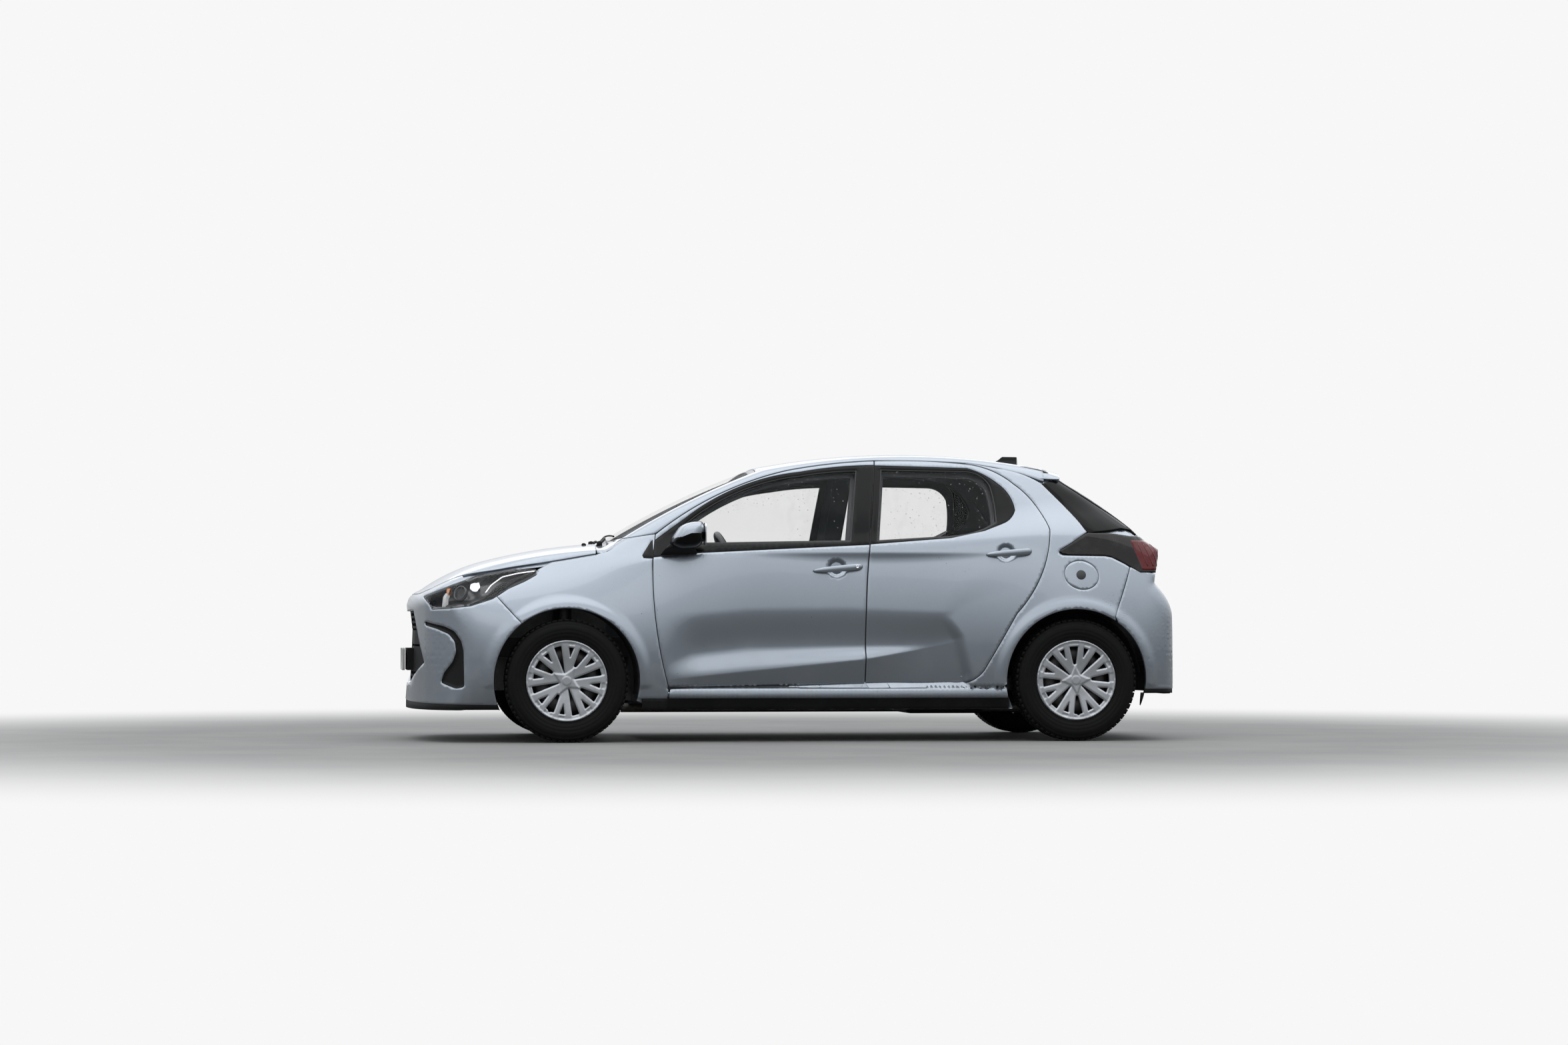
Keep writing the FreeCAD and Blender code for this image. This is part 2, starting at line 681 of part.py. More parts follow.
WHEELS = (
    ("front_left", front_bound, -1, 30),
    ("front_right", front_bound, 1, 30),
    ("rear_left", rear_bound, -1, 0),
    ("rear_right", rear_bound, 1, 0),
)
for name, axle_x, hand, turn in WHEELS:
    rotation = Rotation(Vector(0, 0, 1), 0 if hand < 0 else 180)
    tyre = add_body(f"tyre_{name}")
    half = bound.tyre_width / 2
    profile = add_sketch(tyre, "section", "XY_Plane", [
        (bound.rim_radius + bound.bead_play, -half + 12), (bound.tyre_radius - 40, -half),
        (bound.tyre_radius, -half + 26), (bound.tyre_radius, half - 26), (bound.tyre_radius - 40, half),
        (bound.rim_radius + bound.bead_play, half - 12)])
    add_revolution(tyre, profile)
    seat(tyre, axle_x, hand * (bound.track / 2), bound.hub_height, rotation)

    wheel = add_body(f"wheel_{name}")
    out = -bound.rim_width / 2
    profile = add_sketch(wheel, "section", "XY_Plane", [
        (bound.stub_radius + bound.pin_play, out + bound.cover_depth),
        (bound.stub_radius + bound.pin_play, bound.hub_depth), (bound.hub_radius, bound.hub_depth),
        (bound.hub_radius, out + bound.cover_depth + 8), (bound.rim_radius - 26, out + bound.cover_depth + 8),
        (bound.rim_radius - 26, -out - 20), (bound.rim_radius - 8, -out - 8), (bound.rim_radius - 8, -out),
        (bound.rim_radius, -out), (bound.rim_radius, -out - 12), (bound.rim_radius - 14, -out - 24),
        (bound.rim_radius - 14, out + 22), (bound.rim_radius, out + 14), (bound.rim_radius, out),
        (bound.slot_outer + 6, out - 2), (bound.slot_outer - 20, out + 2), (bound.hub_radius, out - 6),
        (0, out - 6), (0, out + bound.cover_depth)])
    add_revolution(wheel, profile)
    wide, narrow = bound.wide_slot / 2, bound.narrow_slot / 2
    openings = {
        "wide_slot": [(bound.slot_inner, -wide * 0.3), (bound.slot_outer, -wide), (bound.slot_outer, wide),
                      (bound.slot_inner, wide * 0.3)],
        "narrow_slot": [turned(bound.slot_outer * 0.52, -narrow * 0.3, 45), turned(bound.slot_outer, -narrow, 45),
                        turned(bound.slot_outer, narrow, 45), turned(bound.slot_outer * 0.52, narrow * 0.3, 45)],
        "window": [turned(bound.slot_outer * 0.74, 0, 25), turned(bound.slot_outer * 0.98, -14, 22),
                   turned(bound.slot_outer * 0.98, 12, 27)],
        "other_window": [turned(bound.slot_outer * 0.74, 0, 65), turned(bound.slot_outer * 0.98, -12, 63),
                         turned(bound.slot_outer * 0.98, 14, 68)],
    }
    for title, corners in openings.items():
        add_slots(wheel, add_sketch(wheel, title, "XZ_Plane", corners), 4)
    seat(wheel, axle_x, hand * (bound.track / 2), bound.hub_height,
         rotation.multiply(Rotation(Vector(0, 1, 0), turn)))

# Knuckles turn about a leaning pin that is also the strut
lean_drop = size.strut_radius * sin(radians(size.pin_lean))
for name, hand in (("left", -1), ("right", 1)):
    foot_y = hand * (bound.track / 2 - bound.pin_inset)
    strut = doc.addObject("Part::Cylinder", f"strut_{name}")
    bind(strut, "Radius", bound.strut_radius)
    bind(strut, "Height", (bound.strut_top - bound.strut_foot) / cos(radians(size.pin_lean)))
    seat(strut, front_bound, foot_y, bound.strut_foot, Rotation(Vector(1, 0, 0), hand * size.pin_lean))
    stub = doc.addObject("Part::Cylinder", f"stub_{name}")
    bind(stub, "Radius", bound.stub_radius)
    bind(stub, "Height", bound.stub_length)
    seat(stub, front_bound, hand * (bound.track / 2 - bound.stub_inset), bound.hub_height,
         Rotation(Vector(1, 0, 0), -90 * hand))
    arm = doc.addObject("Part::Box", f"steering_arm_{name}")
    bind(arm, "Length", bound.steering_arm)
    bind(arm, "Width", 24)
    bind(arm, "Height", 22)
    seat(arm, front_bound, hand * (bound.track / 2 - bound.stub_inset - 12) - 12, bound.hub_height - 70)
    knuckle = doc.addObject("Part::MultiFuse", f"knuckle_{name}")
    knuckle.Shapes = [strut, stub, arm]
    keep(f"knuckle_{name}", knuckle)


def add_box(name, length, width, height, x, y, z):
    box = doc.addObject("Part::Box", name)
    bind(box, "Length", length)
    bind(box, "Width", width)
    bind(box, "Height", height)
    return seat(box, x, y, z)


def add_rod(name, radius, length, x, y, z, direction):
    rod = doc.addObject("Part::Cylinder", name)
    bind(rod, "Radius", radius)
    bind(rod, "Height", length)
    return seat(rod, x, y, z, Rotation(Vector(0, 0, 1), direction))


def fuse(label, pieces):
    joined = doc.addObject("Part::MultiFuse", label)
    joined.Shapes = pieces
    return keep(label, joined)


ACROSS, BACK, UP = Vector(0, 1, 0), Vector(1, 0, 0), Vector(0, 0, 1)

# Rear axle: a twist beam between two trailing arms
stub_inside = bound.track / 2 - bound.arm_inset
pieces = [add_rod("twist_tube", bound.beam_radius, stub_inside * 2, rear_bound - bound.beam_ahead,
                  -stub_inside, bound.hub_height - 30, ACROSS)]
for name, hand in (("left", -1), ("right", 1)):
    low = hand * stub_inside - bound.arm_width / 2
    pieces.append(add_box(f"trailing_arm_{name}", bound.arm_length, bound.arm_width, 56,
                          rear_bound - bound.arm_length + 20, low, bound.hub_height - 50))
    pieces.append(add_rod(f"rear_stub_{name}", bound.stub_radius, bound.arm_inset + bound.stub_reach,
                          rear_bound, hand * stub_inside, bound.hub_height, ACROSS * hand))
fuse("rear_axle_beam", pieces)

# Engine, radiator and the frame about them
engine = add_box("engine", bound.engine_length, bound.engine_width, bound.engine_height,
                 front_bound - 330, -bound.engine_width / 2, 252)
keep("engine_block", engine)
keep("radiator", add_box("radiator_block", 40, 640, 420, front_bound - 596, -320, 250))
pieces = [
    add_box("upper_tie", 36, bound.rail_offset * 2 + 60, 50, front_bound - 640, -bound.rail_offset - 30, 680),
    add_box("lower_tie", 36, bound.rail_offset * 2 + 60, 50, front_bound - 640, -bound.rail_offset - 30, 199),
    add_box("bumper_beam", 44, 880, 96, front_bound - 684, -440, 400)]
for name, hand in (("left", -1), ("right", 1)):
    low = hand * bound.rail_offset - bound.rail_width / 2
    pieces.append(add_box(f"rail_{name}", bound.bulkhead_behind_axle + 668, bound.rail_width,
                          bound.rail_height, front_bound - 668, low, 420))
    pieces.append(add_box(f"tie_post_{name}", 36, bound.rail_width, 531, front_bound - 640, low, 199))
    pieces.append(add_box(f"tower_post_{name}", 90, bound.rail_width, 300, front_bound - 45, low, 470))
    tower_low = -bound.tower_outer if hand < 0 else bound.rail_offset
    pieces.append(add_box(f"tower_{name}", 240, bound.tower_outer - bound.rail_offset, 90,
                          front_bound - 120, tower_low, bound.strut_top + lean_drop + bound.tower_gap))
fuse("front_frame", pieces)
pieces = [add_box("cross_member", 300, 760, 56, front_bound - 60, -380, 174)]
for name, hand in (("left", -1), ("right", 1)):
    reach = bound.track / 2 - bound.pin_inset + 12
    pieces.append(add_box(f"lower_arm_{name}", 70, reach - 370, 22, front_bound - 35,
                          -reach if hand < 0 else 370,
                          bound.strut_foot - lean_drop - 22 - bound.pin_play))
    pieces.append(add_box(f"subframe_post_{name}", 60, bound.rail_width, 190.6, front_bound + 170,
                          hand * bound.rail_offset - bound.rail_width / 2, 229))
    pieces.append(add_box(f"subframe_foot_{name}", 60, 120, 30, front_bound + 170,
                          -bound.rail_offset - 30 if hand < 0 else bound.rail_offset - 90, 200))
fuse("front_subframe", pieces)

# Floor: bulkhead, cabin floor, step up under the bench, boot floor and tail panel
wall = bound.floor_wall
boot_half = bound.rear_housing_inner - bound.liner_wall - bound.seam_gap
pieces = [
    add_box("bulkhead", wall, 1220, 690, front_bound + bound.bulkhead_behind_axle, -610, bound.floor_level),
    add_box("cabin_floor", bound.wheelbase - 360 - bound.bulkhead_behind_axle, 1310, wall,
            front_bound + bound.bulkhead_behind_axle, -655, bound.floor_level),
    add_box("floor_step", wall, boot_half * 2, bound.boot_floor_level - bound.floor_level, rear_bound - 384,
            -boot_half, bound.floor_level),
    add_box("boot_floor", 878, boot_half * 2, wall, rear_bound - 384, -boot_half,
            bound.boot_floor_level - wall),
    add_box("tail_panel", wall, boot_half * 2, 290, rear_bound + 470, -boot_half,
            bound.boot_floor_level - wall)]
fuse("floor_pan", pieces)
keep("fuel_tank", add_box("tank", bound.tank_length, 540, bound.tank_height, rear_bound - 800, -450,
                          bound.floor_level - bound.tank_height - bound.seam_gap))
pieces = [
    add_rod("pipe", bound.exhaust_radius, bound.wheelbase + 52, front_bound + 350, 250, 150, BACK),
    add_rod("muffler", bound.muffler_radius, 420, rear_bound + 380, 90, 262, ACROSS),
    add_rod("riser", bound.exhaust_radius, 112, rear_bound + 380, 250, 150, UP),
    add_rod("tail_pipe", bound.exhaust_radius, 200, rear_bound + 370, 470, 206, BACK)]
fuse("exhaust", pieces)

# Grille bars behind the two mouths of the bumper, bent as the bumper is
def nose_form(inset):
    return top_form(inset).common(plan_form(inset))


bar_zone = nose_form(size.hood_wall + size.seat_play).cut(nose_form(size.hood_wall + size.bar_depth))
bar_zone = bar_zone.common(symmetric("YZ", MOUTH_HALF, front - 830, front - 500, size.bar_lap))
# lowest and highest level of each bar; the tall ones are the bar below the ribs and the plate's carrier
BARS = ((296, 308), (322, 334), (348, 476), (486, 556), (566, 578), (592, 604), (618, 630), (644, 656))
bars = [block(front - 830, front - 500, -700, 700, low, high) for low, high in BARS]
for post in (-430, -260, 244, 414):
    bars.append(block(front - 830, front - 500, post, post + size.bar_lap, 300, size.mouth_top))
grille = bar_zone.common(bars[0].multiFuse(bars[1:]))
plate_back = front - size.front_overhang + size.plate_wall / 2 + size.plate_block + size.seat_play
grille = grille.fuse(block(plate_back, front - 738, -size.plate_width / 2, size.plate_width / 2,
                           size.plate_level, size.plate_level + size.plate_height)).removeSplitter()
add_feature("grille", max(grille.Solids, key=lambda solid: solid.Volume))

plate = add_body("number_plate")
profile = add_sketch(plate, "face", "YZ_Plane", [
    (-bound.plate_width / 2, 0), (bound.plate_width / 2, 0), (bound.plate_width / 2, bound.plate_height),
    (-bound.plate_width / 2, bound.plate_height)])
add_pad(plate, profile, bound.plate_wall)
profile = add_sketch(plate, "carrier", "XZ_Plane", [
    (0, 10), (bound.plate_block, 10), (bound.plate_block, bound.plate_height - 10),
    (0, bound.plate_height - 10)])
add_pad(plate, profile, bound.plate_width - 40)
seat(plate, front_bound - bound.front_overhang + bound.plate_wall / 2, 0, bound.plate_level)

# Door mirrors: a rounded shell on a short foot at the window's corner
door_surface = body_form(-size.seat_play, -size.seat_play, 0, 0, size.sill_bottom).common(left_box)
for name, hand in (("left", -1), ("right", 1)):
    mirror = doc.addObject("PartDesign::Body", f"mirror_form_{name}")
    shell = [(985, 1000), (975, 1085), (940, 1108), (830, 1100), (812, 1060), (815, 990), (860, 975), (960, 978)]
    corners = [(hand * a, b) for a, b in shell]
    profile = add_sketch(mirror, "shell", "YZ_Plane", corners)
    shell_pad = add_pad(mirror, profile, bound.mirror_depth)
    add_fillet(mirror, shell_pad, 22, lambda edge: True)
    profile = add_sketch(mirror, "foot", "YZ_Plane", [
        (hand * 850, 990), (hand * 850, 965), (hand * 760, 945), (hand * 760, 970)])
    add_pad(mirror, profile, bound.mirror_depth - 50)
    seat(mirror, front_bound + bound.mirror_behind_axle)
    surface = doc.addObject("Part::Feature", f"door_surface_{name}")
    surface.Shape = door_surface if hand < 0 else mirror_right(door_surface)
    cut = doc.addObject("Part::Cut", f"mirror_{name}")
    cut.Base = mirror
    cut.Tool = surface
    keep(f"mirror_{name}", cut)

# Roof spoiler on the tailgate, and the aerial's fin on the roof
wedge = Part.Face(outline("XZ", *moved([(-104, 1403.4), (14, 1376), (12, 1360), (2.5, 1331)], rear)))
pivot = Vector(0, 0, -size.crown_radius)
wedge.rotate(pivot, Vector(1, 0, 0), -size.spoiler_turn)
spoiler = wedge.revolve(pivot, Vector(1, 0, 0), 2 * size.spoiler_turn)
add_feature("spoiler", spoiler.cut(crown))
fin = slab("XZ", moved([(-300, 1430), (-285, 1449), (-229, 1467), (-150, 1463), (-144, 1400)], rear),
           -size.fin_wall / 2, size.fin_wall / 2)
add_feature("antenna_fin", fin.cut(crown))

# Wheel housing liners
ring = wheel_space(front, size.front_arch_radius + size.liner_wall, size.front_housing_inner, 792)
liner = ring.cut(front_space).common(block(front - 400, front + 400, -1000, 0, 236, 800))
strut_y = size.track / 2 - size.pin_inset - (size.strut_top - size.strut_foot) * sin(radians(size.pin_lean))
liner = liner.cut(Part.makeCylinder(size.strut_radius * 2, 300, Vector(front, -strut_y, 500)))
rear_ring = wheel_space(rear, size.rear_arch_radius + size.liner_wall,
                        size.rear_housing_inner - size.liner_wall, 680)
rear_liner = rear_ring.cut(rear_space).common(block(rear - 400, rear + 400, -1000, 0, 345, 800))
add_feature("wheel_liners", Part.makeCompound([liner, mirror_right(liner), rear_liner,
                                               mirror_right(rear_liner)]))

# Cabin: seats, bench, dashboard and steering wheel
def seat_profile(x, cushion_length, back_height, base):
    """A seat from its side: a cushion with a leaning back rest."""
    return [(x, base), (x - 20, base + 130), (x + 30, base + 175), (x + cushion_length, base + 130),
            (x + cushion_length + 130, base + back_height), (x + cushion_length + 215, base + back_height + 10),
            (x + cushion_length + 140, base + 40), (x + cushion_length + 90, base)]


chairs = []
for name, hand in (("left", -1), ("right", 1)):
    chair = doc.addObject("PartDesign::Body", f"chair_{name}")
    profile = add_sketch(chair, "side", "XZ_Plane", seat_profile(0, 480, 600, 0))
    add_pad(chair, profile, bound.seat_width)
    rest = add_sketch(chair, "head_rest", "XZ_Plane", [(612, 590), (620, 760), (660, 790), (712, 780), (700, 590)])
    add_pad(chair, rest, 250)
    seat(chair, front_bound + 940, hand * bound.seat_offset, bound.floor_level + wall + bound.seat_play)
    chairs.append(chair)
pair = doc.addObject("Part::Compound", "front_seats")
pair.Links = chairs
keep("front_seats", pair)
bench = add_body("rear_bench")
lift = bound.floor_level + wall + bound.seat_play
shelf = bound.boot_floor_level + bound.seat_play
profile = add_sketch(bench, "side", "XZ_Plane", [
    (-490, lift), (-510, lift + 130), (-460, lift + 175), (-120, lift + 135), (40, 800), (60, 830), (120, 835),
    (140, 810), (50, shelf), (-bound.seat_play, shelf), (-bound.seat_play, lift)])
add_pad(bench, profile, bound.bench_width)
seat(bench, rear_bound - 384)
dash = add_body("dashboard")
profile = add_sketch(dash, "side", "XZ_Plane", [(0, 640), (0, 860), (60, 925), (150, 940), (215, 900),
                                                (200, 800), (150, 740), (130, 640)])
add_pad(dash, profile, bound.dash_width)
seat(dash, front_bound + bound.bulkhead_behind_axle + wall + bound.seat_play)
column_axis = Rotation(Vector(0, 0, 1), Vector(cos(radians(size.wheel_tilt)), 0, sin(radians(size.wheel_tilt))))
rim = doc.addObject("Part::Torus", "steering_rim")
bind(rim, "Radius1", bound.wheel_rim_radius)
bind(rim, "Radius2", bound.wheel_grip_radius)
boss = doc.addObject("Part::Cylinder", "steering_boss")
bind(boss, "Radius", 62)
bind(boss, "Height", 46)
boss.Placement.Base = Vector(0, 0, -34)
spokes = []
for index, angle in enumerate((0, 180, 270)):
    spoke = doc.addObject("Part::Box", f"steering_spoke_{index}")
    bind(spoke, "Length", bound.wheel_rim_radius - 8)
    bind(spoke, "Width", 30)
    bind(spoke, "Height", 12)
    spoke.Placement = FreeCAD.Placement(Vector(0, 0, -6), Rotation(Vector(0, 0, 1), angle)).multiply(
        FreeCAD.Placement(Vector(0, -15, 0), Rotation()))
    spokes.append(spoke)
wheel = fuse("steering_wheel", [rim, boss] + spokes)
wheel.Placement = FreeCAD.Placement(Vector(front + 870, -size.seat_offset, 880),
                                    column_axis.multiply(Rotation(Vector(0, 0, 1), 90)))
column = doc.addObject("Part::Cylinder", "column_tube")
bind(column, "Radius", 26)
bind(column, "Height", 190)
column.Placement = FreeCAD.Placement(
    Vector(front + 870, -size.seat_offset, 880) + column_axis.multVec(Vector(0, 0, -34 - size.bead_play - 190)), column_axis)
keep("steering_column", column)

doc.recompute()
failed = [item.Label for item in doc.Objects if {"Invalid", "Error"} & set(item.State)]
if failed:
    raise RuntimeError(f"objects that failed: {failed}")
for label, item in finished.items():
    shape = item.Shape
    if shape.isNull() or not shape.isValid():
        raise ValueError(f"{label} has no valid shape")
    if not shape.Solids:
        raise ValueError(f"{label} holds no solid")
    box = shape.optimalBoundingBox(False)
    print(f"{label:18} {len(shape.Solids)} {shape.Volume / 1e6:8.2f}",
          [round(v) for v in (box.XMin, box.XMax, box.YMin, box.YMax, box.ZMin, box.ZMax)])
    shape.exportStep(f"parts/{label}.step")
print(len(finished), "sub-parts")
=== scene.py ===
# %% [markdown]
# # A small hatchback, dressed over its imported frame
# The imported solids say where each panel, wheel and seat is and what it turns with. This notebook lays the
# finished surfaces over them: pressed panels, glass, lamps, wheel covers, tyres and trim, one step at a
# time. Everything is in metres. X runs from the nose to the tail, Y to the car's right and Z up.

# %% Load the frame
import math
import bmesh
import bpy
import numpy as np
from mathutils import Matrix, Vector
from mathutils.geometry import delaunay_2d_cdt


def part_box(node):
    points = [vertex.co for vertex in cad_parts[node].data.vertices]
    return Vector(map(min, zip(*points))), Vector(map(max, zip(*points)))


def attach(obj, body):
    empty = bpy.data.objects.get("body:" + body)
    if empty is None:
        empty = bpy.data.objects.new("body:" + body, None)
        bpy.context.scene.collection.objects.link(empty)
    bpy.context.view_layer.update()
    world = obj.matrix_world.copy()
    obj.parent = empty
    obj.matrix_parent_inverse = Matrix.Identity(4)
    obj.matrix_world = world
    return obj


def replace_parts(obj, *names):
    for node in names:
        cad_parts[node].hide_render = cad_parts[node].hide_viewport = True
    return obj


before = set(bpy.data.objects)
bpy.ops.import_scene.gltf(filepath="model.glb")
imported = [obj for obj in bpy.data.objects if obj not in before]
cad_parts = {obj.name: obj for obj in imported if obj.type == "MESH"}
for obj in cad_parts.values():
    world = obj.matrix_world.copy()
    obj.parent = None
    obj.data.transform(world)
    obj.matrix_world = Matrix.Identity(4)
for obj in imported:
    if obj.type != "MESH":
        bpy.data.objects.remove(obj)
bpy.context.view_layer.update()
FRONT, REAR = -1.172, 1.388  # the axles' places
WHEELBASE = 2.56
HUB = 0.306

# %% [markdown]
# ## Camera
# The photograph was taken from about 18 m away with a long lens, a little ahead of the car's middle and
# with the camera at the height of the wheels. A camera with the same lens at the same place gives the same
# outlines.

# %% Camera
camera = bpy.data.objects.new("camera", bpy.data.cameras.new("camera"))
camera.data.lens = 85.0
camera.data.sensor_width = 36.0
camera.data.clip_end = 200.0
camera.location = (FRONT - 1.139, -19.146, 0.562)
camera.rotation_euler = (math.pi / 2 + 0.0288, 0.0, -0.1207)
bpy.context.collection.objects.link(camera)
bpy.context.scene.camera = camera
print("camera at", tuple(round(v, 2) for v in camera.location))

# %% [markdown]
# ## The shape of the body, as one function
# Pressed panels meet without steps because they are cut from one surface. Sculpting each panel by hand
# would leave steps at every gap, so the body is a function instead: it is negative inside the car and
# positive outside. It joins the side's curve, the profile along the middle and the outline from above, with
# rounded edges between.

# %% Curves through points
def spline(points):
    """A smooth curve through (place, value) points, level beyond its ends."""
    x, y = np.array(points, float).T
    count = len(x)
    h = np.diff(x)
    matrix, right = np.eye(count), np.zeros(count)
    for i in range(1, count - 1):
        matrix[i, i - 1:i + 2] = h[i - 1], 2 * (h[i - 1] + h[i]), h[i]
        right[i] = 6 * ((y[i + 1] - y[i]) / h[i] - (y[i] - y[i - 1]) / h[i - 1])
    bend = np.linalg.solve(matrix, right)

    def value(t):
        t = np.clip(t, x[0], x[-1])
        k = np.clip(np.searchsorted(x, t) - 1, 0, count - 2)
        a = (x[k + 1] - t) / h[k]
        b = 1 - a
        return (a * y[k] + b * y[k + 1]
                + ((a ** 3 - a) * bend[k] + (b ** 3 - b) * bend[k + 1]) * h[k] ** 2 / 6)
    return value


def ease(t):
    t = np.clip(t, 0, 1)
    return t * t * (3 - 2 * t)


def arc_through(y0, z0, y1, z1, y2, z2, z):
    """Half width at height z on the circle through three points that bulges outwards."""
    a, b = y1 - y0, z1 - z0
    c, d = y2 - y0, z2 - z0
    e, f = (a * a + b * b) / 2, (c * c + d * d) / 2
    det = a * d - b * c
    cy, cz = (e * d - b * f) / det, (a * f - e * c) / det
    radius2 = cy * cy + cz * cz
    return y0 + cy + np.sqrt(np.maximum(radius2 - (z - z0 - cz) ** 2, 1e-9))


def polyline(steps, pitch=0.012):
    """Points along steps given in millimetres: (x, z) ends a line, (mid x, mid z, x, z) ends an arc."""
    steps = [tuple(v / 1000 for v in step) for step in steps]
    points = [np.array(steps[0][-2:])]
    for step in steps[1:] + [steps[0][-2:]]:
        start, end = points[-1], np.array(step[-2:])
        if len(step) == 4:
            middle = np.array(step[:2])
            count = max(3, int(np.linalg.norm(end - start) / pitch))
            a, c = middle - start, end - start
            det = 2 * (a[0] * c[1] - a[1] * c[0])
            centre = start + np.array([c[1] * a.dot(a) - a[1] * c.dot(c),
                                       a[0] * c.dot(c) - c[0] * a.dot(a)]) / det
            first, last = (math.atan2(*(p - centre)[::-1]) for p in (start, end))
            turn = (last - first) % (2 * math.pi)
            if det < 0:
                turn -= 2 * math.pi
            angles = first + turn * np.arange(1, count + 1) / count
            radius = np.linalg.norm(start - centre)
            points += [centre + radius * np.array([math.cos(t), math.sin(t)]) for t in angles]
        elif np.linalg.norm(end - start) > 1e-6:
            count = max(1, int(np.linalg.norm(end - start) / pitch))
            points += [start + (end - start) * i / count for i in range(1, count + 1)]
    return np.array(points[:-1] if np.linalg.norm(points[0] - points[-1]) < 1e-6 else points)


def inside(points, loop):
    """Which points lie inside a closed loop."""
    hit = np.zeros(len(points), bool)
    for (x0, y0), (x1, y1) in zip(loop, np.roll(loop, -1, axis=0)):
        if y0 != y1:
            crosses = (y0 > points[:, 1]) != (y1 > points[:, 1])
            hit ^= crosses & (points[:, 0] < (x1 - x0) * (points[:, 1] - y0) / (y1 - y0) + x0)
    return hit


def distance_to(points, line, closed=True):
    """Distance from each point to a line of points."""
    best = np.full(len(points), 1e9)
    ends = np.roll(line, -1, axis=0) if closed else line[1:]
    for start, end in zip(line, ends):
        span = end - start
        t = np.clip((points - start) @ span / max(span @ span, 1e-12), 0, 1)
        best = np.minimum(best, np.linalg.norm(points - start - t[:, None] * span, axis=1))
    return best


print("an arc's half width:", round(float(arc_through(0.826, 0.16, 0.846, 0.62, 0.775, 0.95, 0.62)), 3))

# %% [markdown]
# ### Widths, profile and plan
# The tables hold the same lines as the solids: half widths at the sill, at the widest line and at the belt,
# the side glass above them, the profile seen from the side and the outline seen from above. The profile and
# the plan become maps of distance to their line, read between grid points, which is quick enough for a
# million questions.

# %% Tables of the body's lines
SIDE = (  # distance behind the front axle, half width at the sill, the widest line and the belt, belt height
    (-0.83, 0.798, 0.82, 0.688, 0.75), (-0.35, 0.818, 0.85, 0.712, 0.85), (0.0, 0.826, 0.862, 0.722, 0.905),
    (0.5, 0.826, 0.846, 0.775, 0.95), (1.3, 0.828, 0.845, 0.797, 0.985), (2.1, 0.832, 0.858, 0.786, 1.04),
    (2.56, 0.838, 0.872, 0.758, 1.085), (2.9, 0.815, 0.848, 0.716, 1.06), (3.154, 0.77, 0.8, 0.68, 1.0))
GLASSHOUSE = (  # distance behind the front axle, half width at the belt and at the roof
    (0.1, 0.705, 0.5), (0.6, 0.768, 0.556), (1.3, 0.822, 0.592), (2.1, 0.815, 0.575),
    (2.56, 0.775, 0.532), (3.01, 0.7, 0.462))
sill, waist, belt, belt_height = (spline([(row[0], row[i]) for row in SIDE]) for i in range(1, 5))
glass_foot, glass_head = (spline([(row[0], row[i]) for row in GLASSHOUSE]) for i in (1, 2))

PROFILE = [
    (-786, 100), (-786, 205), (-774, 300, -762, 560), (-778, 690), (-752, 735, -705, 762),
    (-560, 848, -400, 908), (-100, 971, 208, 1003), (618, 1232, 1010, 1395), (1731, 1466, 2460, 1400),
    (2562, 1330), (2760, 1204, 2956, 1046), (3016, 1010), (2982, 850), (3112, 700), (3142, 500), (3142, 100)]
PLAN = [(-792, 0), (-760, 330, -690, 600), (-560, 780, -280, 890), (1200, 1200), (2830, 900),
        (3040, 800, 3090, 600), (3127, 330, 3150, 0)]
MAP_STEP = 0.008


def distance_map(loop, x_range, y_range):
    """Signed distance to a loop on a grid, read by blending the four nearest grid points."""
    xs, ys = np.arange(*x_range, MAP_STEP), np.arange(*y_range, MAP_STEP)
    grid = np.stack(np.meshgrid(xs, ys, indexing="ij"), -1).reshape(-1, 2)
    values = distance_to(grid, loop)
    values[inside(grid, loop)] *= -1
    values = values.reshape(len(xs), len(ys))

    def read(x, y):
        fx = np.clip((x - xs[0]) / MAP_STEP, 0, len(xs) - 1.001)
        fy = np.clip((y - ys[0]) / MAP_STEP, 0, len(ys) - 1.001)
        i, j = fx.astype(int), fy.astype(int)
        s, t = fx - i, fy - j
        return ((values[i, j] * (1 - s) + values[i + 1, j] * s) * (1 - t)
                + (values[i, j + 1] * (1 - s) + values[i + 1, j + 1] * s) * t)
    return read


profile_map = distance_map(polyline(PROFILE, 0.03), (-1.0, 3.3), (0.0, 1.7))
plan_line = polyline(PLAN, 0.03)
plan_line = plan_line[:int(np.argmax(plan_line[:, 0])) + 1]
plan_map = distance_map(np.vstack([plan_line, plan_line[-2::-1] * (1, -1)]), (-1.0, 3.3), (-0.02, 1.3))
CROWN = 4.5
print("profile at the roof:", profile_map(np.array([1.731]), np.array([1.466])).round(4))

# %% [markdown]
# ### Pressed lines on the sides
# The doors have a soft hollow that turns up into a scoop above a sharp crease, the rear door has a haunch
# that swells towards the wheel, and each arch has a flare. They are one relief: how far the side is pressed
# in at a place. Written as a function of the place, a line runs on from panel to panel as the press would
# leave it.

# %% Relief of the sides
ARCHES = ((0.0, 0.362), (WHEELBASE, 0.358))  # distance behind the front axle, radius
HAUNCH = np.array([
    (2.02, 0.18), (1.995, 0.33), (1.95, 0.512), (1.88, 0.62), (1.935, 0.725), (2.06, 0.8), (2.187, 0.852),
    (2.4, 0.88)])


def door_crease(u):
    return np.interp(u, [0.35, 0.504, 1.488, 1.73, 1.95], [0.298, 0.311, 0.409, 0.452, 0.5])


HOLLOW, CREASE_DEPTH = 0.03, 0.004  # how far the doors are pressed in, at their deepest and at the crease
SILL_TOP = 0.274


